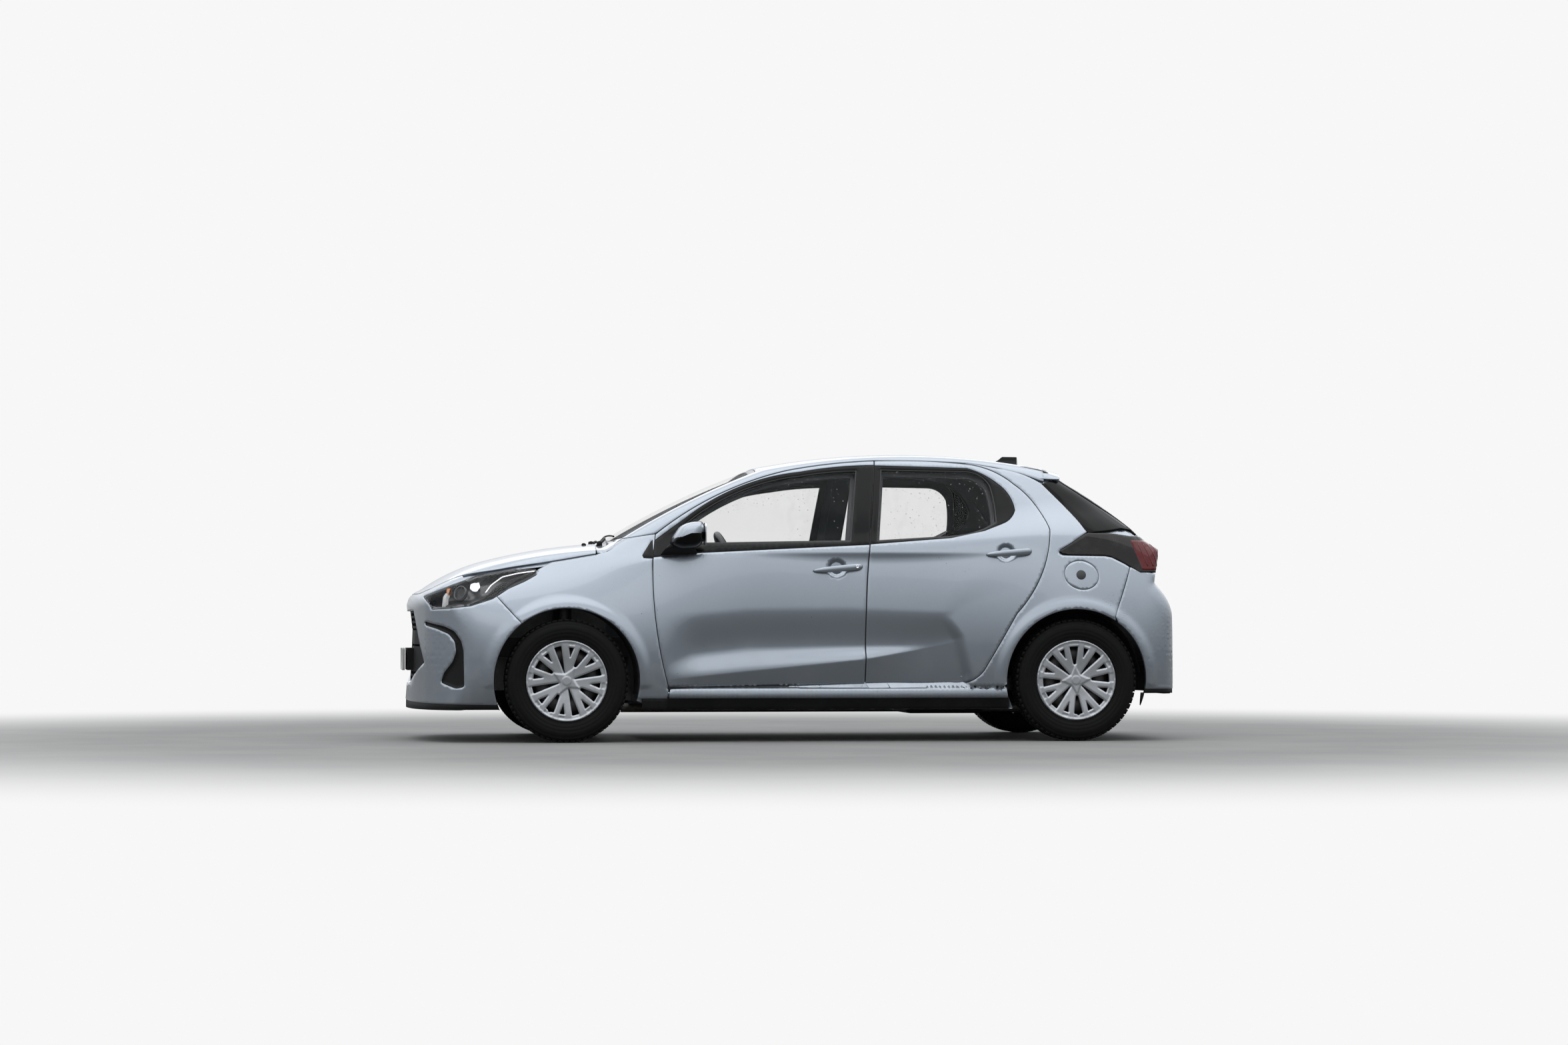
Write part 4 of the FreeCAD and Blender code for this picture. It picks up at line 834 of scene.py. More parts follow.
fender = pressed(SIDEWAYS, [polyline(FENDER)],
                 [arches[0], grown(headlamp_loop, 0.003), hood_side, door_spaces[0],
                  polyline(SAIL)], pitch=0.011)
add_pair("fender", fender, "paint")
add_pair("mirror_sail", pressed(SIDEWAYS, [polyline(SAIL)], inset=0.001, pitch=0.02), "gloss_black")
quarter_loops = [arches[1], *door_spaces, grown(tail_lamp_loop, 0.003), grown(polyline(SKIRT_SIDE), 0.002)]
sill_u = np.arange(0.52, 2.2, 0.012)
quarter_line = [np.stack([sill_u, np.full(len(sill_u), 0.263)], -1)]
left_quarter = pressed(SIDEWAYS, [polyline(QUARTER)], [*quarter_loops, flap_loop(0.0025)], quarter_line,
                       pitch=0.011)
right_quarter = pressed(SIDEWAYS, [polyline(QUARTER)], quarter_loops, quarter_line, pitch=0.011)
make_object("quarters_and_sills", *joined(left_quarter, mirrored(*right_quarter)), "paint", "body")
strip = polyline([(375, 163), (2215, 163), (2215, 215), (375, 215)])
add_pair("sill_strip", pressed(SIDEWAYS, [strip], arches, inset=0.001), "black_trim")
make_object("fuel_flap_skin", *pressed(SIDEWAYS, [flap_loop()], pitch=0.01), "paint", "fuel_flap")
print("sides:", len(fender[1]), "and", len(left_quarter[1]), "faces")

# %% [markdown]
# ### Strip above the doors
# This strip carries the line of the windscreen pillar over to the tail. It is made between two lines and
# settled on the surface, because it turns from upright to flat, and neither a view from the side nor one
# from above would spread its points well.

# %% Strip above the doors
def along_line(points, count):
    """Points spread evenly along a line."""
    points = np.asarray(points, float)
    length = np.r_[0, np.cumsum(np.linalg.norm(np.diff(points, axis=0), axis=1))]
    return np.stack([np.interp(np.linspace(0, length[-1], count), length, points[:, i])
                     for i in range(points.shape[1])], -1)


def between(low, high, rows, inset=0.0, depth=0.012):
    """A strip of sheet between two lines of points on the surface."""
    count = len(low)
    grid = np.array([low * (1 - t) + high * t for t in np.linspace(0, 1, rows)]).reshape(-1, 3)
    points = settle(grid, inset)
    faces = [(r * count + i, r * count + i + 1, (r + 1) * count + i + 1, (r + 1) * count + i)
             for r in range(rows - 1) for i in range(count - 1)]
    normals = outward(points)
    a, b, c = (points[[f[k] for f in faces]] for k in range(3))
    if np.mean(np.sum(np.cross(b - a, c - a) * normals[[f[0] for f in faces]], axis=1)) < 0:
        faces = [f[::-1] for f in faces]
    return rimmed(points, normals, faces, depth)


rail_low = polyline([
    (150, 968), (260, 1010), (450, 1036), (768, 1237, 1130, 1364), (1350, 1398, 1570, 1415),
    (1956, 1409, 2066, 1403), (2200, 1381), (2330, 1350), (2440, 1310)], 0.02)
last = int(np.argmin(np.linalg.norm(rail_low - (2.44, 1.31), axis=1)))
lower_edge = SIDEWAYS.hit(along_line(rail_low[:last + 1], 150) + (0, 0.0035))
upper_edge = ABOVE.hit(along_line([
    (0.16, -0.716), (0.236, -0.703), (0.262, -0.64), (0.6, -0.596), (0.97, -0.524), (1.96, -0.504),
    (2.44, -0.459)], 150))
add_pair("roof_rail", between(lower_edge, upper_edge, 9), "paint")
print("roof rail from", lower_edge[0].round(2), "to", lower_edge[-1].round(2))

# %% [markdown]
# ## Hood, windscreen, roof and tailgate
# These are cut in the view that faces them. The hood's sides end at the lamps and fenders, and its own edge
# is a few millimetres away from both. The windscreen has a dark printed band all round, which hides the
# glue.

# %% Panels on top
def whole(steps, across=0):
    """A half outline on one side of the middle, with its mirror image."""
    half = polyline(steps)
    last = int(np.argmin(np.linalg.norm(half - np.array(steps[-1][-2:]) / 1000, axis=1)))
    half = half[:last + 1]
    turn = np.ones(2)
    turn[across] = -1
    back = (half * turn)[::-1]
    middle = np.abs(half[:, across]) < 1e-6
    return np.vstack([half, back[~middle[::-1]]])


def both(loop, across=0):
    turn = np.ones(2)
    turn[across] = -1
    return [loop, (loop * turn)[::-1]]


HOOD = [(-744, 0), (-738, -200, -718, -360), (-660, -520), (-480, -650, -300, -689), (-136, -700),
        (150, -709), (172, -400, 178, 0)]
COWL = [(184, 0), (178, -400, 158, -704), (232, -702), (234, -640), (209, -400, 212, 0)]
SCREEN = [(216, 0), (212, -400, 240, -638), (600, -590, 970, -518), (990, -250, 998, 0)]
ROOF = [(1003, 0), (995, -250, 973, -518), (1960, -499), (2438, -454), (2438, 0)]
lamp_above = grown(seen_from(ABOVE, headlamp_loop), 0.003)
hood_loop = whole(HOOD, 1)
make_object("hood_skin", *pressed(ABOVE, [hood_loop], both(lamp_above, 1), pitch=0.016), "paint", "hood_lid")
make_object("cowl_cover", *pressed(ABOVE, [whole(COWL, 1)], inset=0.006, pitch=0.02), "black_trim", "body")
screen_loop = whole(SCREEN, 1)
screen_inner = grown(screen_loop, -0.035)
make_object("windscreen_band",
            *pressed(ABOVE, [screen_loop], [screen_inner], inset=0.003, depth=0.005, pitch=0.02),
            "gloss_black", "body")
make_object("windscreen_pane",
            *pressed(ABOVE, [grown(screen_inner, 0.001)], inset=0.003, depth=0.004, pitch=0.03), "glass",
            "body")
make_object("roof_skin", *pressed(ABOVE, [whole(ROOF, 1)], pitch=0.02), "paint", "body")
TAILGATE = [
    (0, 1396), (-551, 1392), (-576, 1298), (-652, 1072), (-598, 1030), (-554, 935), (-543, 800), (-518, 693),
    (0, 693)]
REAR_GLASS = [(0, 1322), (-520, 1306), (-586, 1085), (-540, 1062), (0, 1074)]
tailgate_loop, rear_glass_loop = whole(TAILGATE), whole(REAR_GLASS)
upper_half = np.array([(-1.0, 1.046), (1.0, 1.046), (1.0, 1.6), (-1.0, 1.6)])
make_object("tailgate_skin", *pressed(BEHIND, [tailgate_loop], [upper_half], pitch=0.013), "paint",
            "tailgate")
make_object("rear_window_surround", *pressed(BEHIND, [tailgate_loop, grown(upper_half, -0.0005)],
            [grown(rear_glass_loop, 0.0025)], pitch=0.013), "gloss_black", "tailgate")
make_object("rear_pane", *pressed(BEHIND, [rear_glass_loop], inset=0.003, depth=0.005, pitch=0.03),
            "dark_glass", "tailgate")
print("top panels done")

# %% [markdown]
# ## Bumpers
# The bumpers wrap round the corners, so they are cut in a view that goes round them. The front one has a
# large mouth with six sides, and a tall curved recess near each end.

# %% Bumper skins
def doubled(half):
    """A half outline that starts and ends at the middle, with its mirror image."""
    return np.vstack([half, (half * (-1, 1))[::-1][1:-1]])


MOUTH = [(0, 655), (-390, 655), (-585, 395), (-270, 287), (0, 283)]
CURTAIN = [
    (-694, 602), (-600, 576), (-552, 552), (-520, 505), (-508, 455), (-504, 275), (-545, 266), (-618, 296),
    (-604, 345), (-562, 400), (-545, 450), (-552, 500), (-580, 536), (-640, 563), (-694, 581)]
mouth_loop = whole(MOUTH)
nose_mouth = seen_from(NOSE_ROUND, mouth_loop, AHEAD)
nose_curtain = seen_from(NOSE_ROUND, rounded(np.array(CURTAIN) / 1000, 0.012, 4))
nose_split = seen_from(NOSE_ROUND, np.array([(-0.229, 0.593), (-0.345, 0.722)]))
nose_lamp = grown(seen_from(NOSE_ROUND, headlamp_loop), 0.0015)
low_left = np.array([(-0.334, 0.163), (-0.229, 0.593)])
corner = seen_from(NOSE_ROUND, low_left)
arch_edge = arches[0][(arches[0][:, 0] < -0.22) & (arches[0][:, 1] > 0.155) & (arches[0][:, 1] < 0.595)]
arch_edge = seen_from(NOSE_ROUND, arch_edge[np.argsort(arch_edge[:, 1])])
hood_front = seen_from(NOSE_ROUND, hood_loop[(hood_loop[:, 0] < -0.5) & (hood_loop[:, 1] <= 0)],
                       ABOVE) - (0, 0.006)
hood_front = hood_front[np.argsort(hood_front[:, 0])]
lamp_middle = nose_lamp.mean(0)
nose_half = np.vstack([[(0.0, hood_front[0, 1])], hood_front[hood_front[:, 0] > 0.004], [lamp_middle],
                       nose_split[::-1], arch_edge[::-1], [(corner[0, 0], 0.163)], [(0.0, 0.163)]])
nose_whole = doubled(nose_half)
lip_loop = np.array([
    (0.0, 0.206), (0.3, 0.198), (corner[0, 0] + 0.1, 0.184), (corner[0, 0] + 0.1, 0.1), (0, 0.1)])
lip_whole = doubled(lip_loop)
holes = [nose_mouth, *both(nose_curtain), *both(nose_lamp)]
make_object("front_bumper_skin", *pressed(NOSE_ROUND, [nose_whole], [*holes, lip_whole], pitch=0.012),
            "paint", "body")
make_object("front_lip", *pressed(NOSE_ROUND, [nose_whole, lip_whole], inset=0.002, pitch=0.02), "black_trim",
            "body")

tail_gate_round = seen_from(TAIL_ROUND, grown(tailgate_loop, 0.004), BEHIND)
skirt_split = seen_from(TAIL_ROUND,
                        np.array([(2.758, 0.24), (2.758, 0.626), (2.848, 0.874), (2.97, 0.852)]))
rear_arch_edge = arches[1][(arches[1][:, 0] > 2.76) & (arches[1][:, 1] > 0.17) & (arches[1][:, 1] < 0.62)]
rear_arch_edge = seen_from(TAIL_ROUND, rear_arch_edge[np.argsort(rear_arch_edge[:, 1])])
tail_half = np.vstack([[(0.0, 0.8), (0.2, 0.8), (0.2, 0.834)], [(skirt_split[3, 0], 0.842)],
                       skirt_split[2:0:-1], rear_arch_edge[::-1],
                       [(rear_arch_edge[0, 0], 0.24), (0.0, 0.24)]])
tail_whole = doubled(tail_half)
valance = np.array([
    (-1.2, 0.1), (-1.2, 0.262), (-0.47, 0.262), (-0.4, 0.345), (0.4, 0.345), (0.47, 0.262), (1.2, 0.262),
    (1.2, 0.1)])
make_object("rear_bumper_skin", *pressed(TAIL_ROUND, [tail_whole], [tail_gate_round, valance], pitch=0.012),
            "paint", "body")
make_object("rear_valance", *pressed(TAIL_ROUND, [tail_whole, valance], inset=0.002, pitch=0.02),
            "black_trim", "body")
add_pair("air_curtain", dished(NOSE_ROUND, nose_curtain, 0.0105, 0.012, 0.0015), "black_trim")
print("bumpers done; corner", corner.round(3).tolist(), "skirt", skirt_split.round(3).tolist())

# %% [markdown]
# ## Behind the skins
# The skins are thin, and behind each lies the solid that the frame gives: door boxes, pillars, inner wings.
# A copy of it is pressed in to just under the skin, so that an open door shows its thick edge and the gaps
# end in something solid. The copy stands for the solid, and also for the glass solid in it. What is seen
# there is the pane.

# %% Inner copies
UNDER_SKIN = 0.0135


def inner(node, material, body):
    """A copy of a solid, its outside moved to just below the skin."""
    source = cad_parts[node].data
    mesh = bmesh.new()
    mesh.from_mesh(source)
    bmesh.ops.remove_doubles(mesh, verts=mesh.verts, dist=0.0001)
    for _ in range(3):
        long = [e for e in mesh.edges if e.calc_length() > 0.06]
        if not long:
            break
        bmesh.ops.subdivide_edges(mesh, edges=long, cuts=1)
        bmesh.ops.triangulate(mesh, faces=mesh.faces[:])
    points = np.array([v.co for v in mesh.verts])
    level = body_surface(points)
    u, z = points[:, 0] - FRONT, points[:, 2]
    around = [relief(u + du, np.maximum(z + dz, SILL_TOP + 0.006))
              for du, dz in ((0, 0), (0.025, 0), (-0.025, 0), (0, 0.025), (0, -0.025))]
    move = np.clip(level + UNDER_SKIN + np.max(around, axis=0) - around[0], 0, 0.05)
    points -= outward(points) * move[:, None]
    for vert, point in zip(mesh.verts, points):
        vert.co = point
    piece_mesh = bpy.data.meshes.new(f"{node}_inside")
    mesh.to_mesh(piece_mesh)
    mesh.free()
    piece_mesh.materials.clear()
    piece_mesh.materials.append(MATERIALS[material])
    piece_mesh.shade_flat()
    piece = bpy.data.objects.new(f"{node}_inside", piece_mesh)
    bpy.context.collection.objects.link(piece)
    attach(piece, body)
    "paint" if material == "paint" else "black_trim"
    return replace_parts(piece, node)


INSIDES = (  # solid, finish of its inner copy, body, solids that it also stands for
    ("body_sides", "paint", "body", ()), ("front_fenders", "paint", "body", ()),
    ("front_bumper", "black_trim", "body", ()), ("rear_bumper", "black_trim", "body", ()),
    ("hood", "paint", "hood_lid", ()), ("roof_panel", "cabin", "body", ()),
    ("cowl", "black_trim", "body", ("windscreen",)), ("tailgate", "paint", "tailgate", ("rear_window",)),
    ("fuel_flap", "paint", "fuel_flap", ()),
    *((f"{end}_door_{side}", "paint", f"{end}_door_{side}", (f"{end}_glass_{side}",))
      for end in ("front", "rear") for side in ("left", "right")))
for node, finish, body, others in INSIDES:
    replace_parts(inner(node, finish, body), *others)
print(len(INSIDES), "inner copies")

# %% [markdown]
# ## Painted shade behind the gaps
# A gap between two panels looks dark because it lies in shade. Bare, it would show bright metal. A narrow
# black strip follows each gap a few millimetres below the surface, as painted shade in the rubber seals'
# finish.

# %% Painted shade in the gaps
def gap_strip(line, width=0.012, inset=0.007, view=SIDEWAYS):
    """A black strip under an open line on the surface."""
    line = along_line(line, max(6, len(line)))
    step = np.gradient(line, axis=0)
    step /= np.maximum(np.linalg.norm(step, axis=1), 1e-9)[:, None]
    side = np.stack([-step[:, 1], step[:, 0]], -1) * width / 2 / view.stretch
    return between(view.hit(line - side), view.hit(line + side), 3, inset, 0.003)


def closed(loop):
    return np.vstack([loop, loop[:1]])


GAPS = [closed(polyline(FRONT_DOOR, 0.02)), closed(polyline(REAR_DOOR, 0.02)),
        polyline([(-225, 593), (-342, 724)], 0.02)[:-1], polyline([(2757, 624), (2846, 873)], 0.02)[:-1]]
# These black strips along the door gaps, the fender's seam and the rear skirt's seam are painted shade.
strips = joined(*[gap_strip(line) for line in GAPS])
add_pair("gap_seals", strips, "seal")
print("seal strips:", len(strips[1]), "faces on each side")

# %% [markdown]
# ## Black band beside the rear window
# Seen from the side, the tailgate's edge is gloss black from the roof down to the lamp. It closes the space
# between the silver quarter and the tailgate's skin, so it is laid between those two edges.

# %% Tailgate's side bands
band_outer = SIDEWAYS.hit(along_line([
    (2.43, 1.303), (2.512, 1.215), (2.59, 1.115), (2.628, 1.066), (2.644, 1.05)], 40))
band_inner = BEHIND.hit(along_line([
    (-0.572, 1.318), (-0.577, 1.298), (-0.614, 1.185), (-0.651, 1.072), (-0.634, 1.046)], 40))
add_pair("tailgate_band", between(band_outer, band_inner, 6, 0.001, 0.012), "gloss_black",
         ("tailgate", "tailgate"))
print("band from", band_outer[0].round(3), "to", band_inner[-1].round(3))

# %% [markdown]
# ## Turned and swept forms
# Wheels, tyres, lamp rings and pipes are turned about an axis or swept along a line. Both are written out
# once as helpers, because every such piece then needs only its section.

# %% Turned, swept and rounded shapes
def turned(section, centre, axis=(0, 1, 0), count=96):
    """A closed (radius, place along the axis) section turned about an axis through a centre."""
    section, centre = np.asarray(section, float), np.asarray(centre, float)
    axis = np.asarray(axis, float) / np.linalg.norm(axis)
    side = np.cross(axis, (0.0, 0.0, 1.0))
    side = side / np.linalg.norm(side) if np.linalg.norm(side) > 1e-6 else np.array([1.0, 0, 0])
    up = np.cross(side, axis)
    angle = np.arange(count) * 2 * math.pi / count
    spokes = np.cos(angle)[:, None] * side + np.sin(angle)[:, None] * up
    along, across = section[None, :, 1, None] * axis, section[None, :, 0, None] * spokes[:, None, :]
    points = (centre + along + across).reshape(-1, 3)
    rows = len(section)
    corners = [(i * rows, (i + 1) % count * rows, k, (k + 1) % rows) for i in range(count)
               for k in range(rows)]
    return fixed(points, [(i + k, j + k, j + m, i + m) for i, j, k, m in corners])


def fixed(points, faces):
    """The same shape with doubles merged and every face turned outwards."""
    mesh = bmesh.new()
    verts = [mesh.verts.new(tuple(p)) for p in points]
    for face in faces:
        loop = [verts[i] for i in dict.fromkeys(face)]
        if len(loop) > 2:
            try:
                mesh.faces.new(loop)
            except ValueError:
                pass
    bmesh.ops.remove_doubles(mesh, verts=mesh.verts, dist=1e-5)
    bmesh.ops.recalc_face_normals(mesh, faces=mesh.faces[:])
    mesh.verts.index_update()
    out = np.array([v.co for v in mesh.verts]), [tuple(v.index for v in f.verts) for f in mesh.faces]
    mesh.free()
    return out


def swept(rings):
    """A skin over rings of points that have the same count, closed at both ends."""
    rings = [np.asarray(ring, float) for ring in rings]
    count = len(rings[0])
    points = np.vstack(rings)
    faces = [(r * count + i, r * count + (i + 1) % count, (r + 1) * count + (i + 1) % count,
              (r + 1) * count + i)
             for r in range(len(rings) - 1) for i in range(count)]
    for r in (0, len(rings) - 1):
        middle = len(points)
        points = np.vstack([points, rings[r].mean(0)])
        faces += [(r * count + i, r * count + (i + 1) % count, middle) for i in range(count)]
    return fixed(points, faces)


def tube(line, radius, count):
    """A round bar along points in space."""
    line = np.asarray(line, float)
    step = np.gradient(line, axis=0)
    step /= np.linalg.norm(step, axis=1)[:, None]
    up = np.cross(step, (0.0, 1.0, 0.02))
    up /= np.linalg.norm(up, axis=1)[:, None]
    side = np.cross(step, up)
    radius = np.broadcast_to(radius, len(line))
    angle = np.arange(count) * 2 * math.pi / count
    return swept([p + r * (np.cos(angle)[:, None] * u + np.sin(angle)[:, None] * s)
                  for p, r, u, s in zip(line, radius, up, side)])


print("a turned ring has", len(turned([(1, 0), (1.1, 0), (1.1, 0.1)], (0, 0, 0), count=12)[1]), "faces")

# %% [markdown]
# ## Wheel covers
# The wheels have silver plastic covers over steel wheels. The cover is a disc with four wide slots, four
# narrow ones between them and eight small windows, and a star with four points in its middle. Its holes are
# drawn flat and cut as the panels' holes are, and its height is a function of the place, so that every edge
# gets the same bevel.

# %% Wheel cover and steel wheel
COVER = 0.2015  # the cover's radius
WHEEL_FACE, WHEEL_MIDDLE = 0.846, 0.765  # places across the car
WHEEL_TURNS = {  # as the wheels stand in the photograph
    "front": math.radians(60), "rear": math.radians(94)}
AXLES = (("front", 0.0), ("rear", WHEELBASE))


def spun(points, angle):
    c, s = math.cos(angle), math.sin(angle)
    return np.stack([points[:, 0] * c - points[:, 1] * s, points[:, 0] * s + points[:, 1] * c], -1)


def cover_holes():
    wide = rounded([
        (0.39, -0.034), (0.835, -0.114), (0.85, -0.045), (0.89, 0.0), (0.85, 0.045), (0.835, 0.114),
        (0.39, 0.034)], 0.03, 4)
    plain_wide = rounded([(0.39, -0.034), (0.84, -0.114), (0.84, 0.114), (0.39, 0.034)], 0.03, 4)
    narrow = rounded([(0.2, -0.012), (0.868, -0.094), (0.868, 0.094), (0.2, 0.012)], 0.03, 4)
    window = rounded([(0.58, 0.0), (0.825, -0.066), (0.825, 0.066)], 0.02, 4)
    holes = []
    for quarter in range(4):
        turn = quarter * math.pi / 2
        holes.append(spun(wide if quarter == 2 else plain_wide, turn) * COVER)
        holes.append(spun(narrow, turn + math.pi / 4) * COVER)
        holes += [spun(window, turn + math.radians(a)) * COVER for a in (-22, 22)]
    return holes


STAR = np.array([(math.cos(k * math.pi / 4) * r, math.sin(k * math.pi / 4) * r) for k, r in
                 enumerate([0.355, 0.165] * 4)]) * COVER
holes = cover_holes()
facets = []
for k in range(4):
    for at, half in ((0, 0.11), (math.pi / 4, 0.1), (math.radians(22), 0.07), (math.radians(-22), 0.07)):
        facet = rounded([(0.872, -half), (0.945, -half * 1.05), (0.945, half * 1.05), (0.872, half)], 0.02, 3)
        facets.append(spun(facet, k * math.pi / 2 + at) * COVER)
rim_loop = ring(0.0, 0.0, COVER, 144)
star_lines = [closed(polyline([tuple(p * 1000) for p in STAR], 0.004))]
disc_lines = [closed(ring(0.0, 0.0, r * COVER, n)) for r, n in ((0.115, 28), (0.13, 28), (0.965, 110))]
flat, faces = sheet(SIDEWAYS, [rim_loop], holes, star_lines + disc_lines, 0.0042)


def cover_height(flat):
    """How far the cover stands out from the wheel's face, at a place on it."""
    r = np.hypot(*flat.T) / COVER
    height = 0.002 - 0.012 * (1 - ease((r - 0.1) / 0.8)) + 0.004 * ease((r - 0.93) / 0.05)
    height += 0.004 * ease(distance_to(flat, STAR) * np.where(inside(flat, STAR), 1, -1) / 0.006 + 0.5)
    height += 0.002 * ease((0.122 - r) / 0.02)
    for hole in holes:
        height -= 0.0045 * ease(1 - distance_to(flat, hole) / 0.007) ** 2
    for facet in facets:
        near = distance_to(flat, facet) * np.where(inside(flat, facet), 1, -1)
        height -= 0.003 * ease(near / 0.003 + 0.5)
    return height - 0.008 * ease((r - 0.985) / 0.015)


height = cover_height(flat)
cover_points = np.stack([flat[:, 0], -height, flat[:, 1]], -1)
a, b, c = (cover_points[faces[:, k]] for k in range(3))
normals = np.cross(b - a, c - a)
faces[normals[:, 1] > 0] = faces[normals[:, 1] > 0][:, ::-1]
cover = rimmed(cover_points, np.tile([0.0, -1.0, 0.0], (len(cover_points), 1)), faces, 0.014, 0.0006)

g = Graph("cover_silver", Metallic=0.55, Coat_Weight=0.4, Coat_Roughness=0.15)
grain, cloud = g.noise(1800.0, 2.0), g.noise(9.0, 4.0)
grime = cloud.ramp(0.52, 0.78) * 0.5
g.feed(Base_Color=g.mix(grime, (0.4, 0.415, 0.435), (0.2, 0.195, 0.185)), Roughness=0.34 + grime * 0.4)
MATERIALS["cover"] = g.bump(grain, 0.0003, 0.4).material

STEEL_WHEEL = [
    (0.2023, -0.842), (0.199, -0.846), (0.193, -0.843), (0.1895, -0.832), (0.18, -0.824), (0.176, -0.8),
    (0.174, -0.76), (0.166, -0.742), (0.164, -0.722), (0.176, -0.712), (0.185, -0.704), (0.188, -0.696),
    (0.196, -0.69), (0.2023, -0.694), (0.199, -0.702), (0.19, -0.708), (0.18, -0.718), (0.169, -0.728),
    (0.171, -0.745), (0.179, -0.764), (0.181, -0.804), (0.185, -0.827), (0.1955, -0.835)]
WHEEL_DISC = [
    (0.175, -0.79), (0.15, -0.806), (0.12, -0.812), (0.095, -0.8), (0.08, -0.786), (0.03, -0.786),
    (0.028, -0.8), (0.0, -0.802), (0.0, -0.782), (0.03, -0.78), (0.082, -0.78), (0.1, -0.794), (0.12, -0.806),
    (0.149, -0.8), (0.175, -0.784)]
MATERIALS["wheel_steel"] = plain("wheel_steel", (0.02, 0.02, 0.021), (0.045, 0.043, 0.041), 0.5, 0.3, 300.0,
                                 0.0006, Metallic=0.5)
steel = joined(turned(STEEL_WHEEL, (0, 0, 0), count=96), turned(WHEEL_DISC, (0, 0, 0), count=72))
for end, hub_u in AXLES:
    for side in ("left", "right"):
        points = cover[0].copy()
        points[:, [0, 2]] = spun(points[:, [0, 2]], WHEEL_TURNS[end])
        part = (points + (FRONT + hub_u, -WHEEL_FACE, HUB), cover[1])
        shell = (steel[0] + (FRONT + hub_u, 0, HUB), steel[1])
        if side == "right":
            part, shell = mirrored(*part), mirrored(*shell)
        body = f"wheel_{end}_{side}"
        make_object(f"wheel_cover_{end}_{side}", *part, "cover", body)
        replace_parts(make_object(f"steel_wheel_{end}_{side}", *shell, "wheel_steel", body), body)
print("a cover has", len(cover[1]), "faces")

# %% [markdown]
# ## Tyres
# A tyre is turned from its section: a bead, a bulging sidewall with fine rings and a shoulder. The tread
# blocks repeat round it, which is work for Geometry Nodes: one block is placed at the tread's radius and
# copied round the hub by a count, with a small shift from row to row so that the grooves don't line up.

# %% Tyre carcass and tread blocks
HALF_TYRE = [
    (0.203, 0.076), (0.206, 0.0815), (0.211, 0.0835), (0.214, 0.0828), (0.2165, 0.085), (0.23, 0.0905),
    (0.2318, 0.0897), (0.2335, 0.0912), (0.248, 0.093), (0.25, 0.0922), (0.252, 0.0932), (0.262, 0.0925),
    (0.278, 0.0895), (0.2795, 0.088), (0.2815, 0.0885), (0.29, 0.084), (0.293, 0.08), (0.2965, 0.074),
    (0.2975, 0.066), (0.298, 0.03), (0.298, 0.0)]
section = [(r, -y) for r, y in HALF_TYRE] + [(r, y) for r, y in HALF_TYRE[-2::-1]]
section += [
    (0.205, 0.07), (0.225, 0.08), (0.25, 0.084), (0.28, 0.076), (0.29, 0.04), (0.29, -0.04), (0.28, -0.076),
    (0.25, -0.084), (0.225, -0.08), (0.205, -0.07)]
g = Graph("tyre_rubber", Specular_IOR_Level=0.12)
dust = g.noise(22.0, 5.0, 0.65).ramp(0.45, 0.8) * 0.45
g.feed(Base_Color=g.mix(dust, (0.006, 0.006, 0.006), (0.022, 0.02, 0.018)), Roughness=0.66 + dust * 0.4)
MATERIALS["tyre"] = g.bump(g.noise(420.0, 4.0), 0.0005, 0.6).material


def node_tree(name, inputs):
    """A Geometry Nodes tree with named inputs, and a maker of its nodes."""
    tree = bpy.data.node_groups.new(name, "GeometryNodeTree")
    tree.interface.new_socket("Geometry", in_out="INPUT", socket_type="NodeSocketGeometry")
    for label, kind, value in inputs:
        tree.interface.new_socket(label, in_out="INPUT",
                                  socket_type=f"NodeSocket{kind}").default_value = value
    tree.interface.new_socket("Geometry", in_out="OUTPUT", socket_type="NodeSocketGeometry")
    start = tree.nodes.new("NodeGroupInput")
    end = tree.nodes.new("NodeGroupOutput")

    def node(kind, values=None, **settings):
        item = tree.nodes.new(kind)
        for key, value in settings.items():
            setattr(item, key, value)
        for key, value in (values or {}).items():
            if isinstance(value, bpy.types.NodeSocket):
                tree.links.new(value, item.inputs[key])
            else:
                item.inputs[key].default_value = value
        return item.outputs

    def finish(geometry, material):
        real = node("GeometryNodeRealizeInstances", {"Geometry": geometry})["Geometry"]
        done = node("GeometryNodeSetMaterial", {"Geometry": real, "Material": material})["Geometry"]
        tree.links.new(done, end.inputs["Geometry"])
        return tree
    return start.outputs, node, finish


def evaluated(tree, start, **values):
    """The mesh that a tree makes of a start mesh, as points and faces."""
    holder = bpy.data.objects.new("holder", start)
    bpy.context.collection.objects.link(holder)
    modifier = holder.modifiers.new("nodes", "NODES")
    modifier.node_group = tree
    for item in tree.interface.items_tree:
        label = item.name.replace(" ", "_")
        if item.in_out == "INPUT" and label in values:
            modifier[item.identifier] = values[label]
    depsgraph = bpy.context.evaluated_depsgraph_get()
    mesh = bpy.data.meshes.new_from_object(holder.evaluated_get(depsgraph))
    points = np.array([v.co for v in mesh.vertices])
    faces = [tuple(f.vertices) for f in mesh.polygons]
    bpy.data.objects.remove(holder)
    bpy.data.meshes.remove(mesh)
    return points, faces


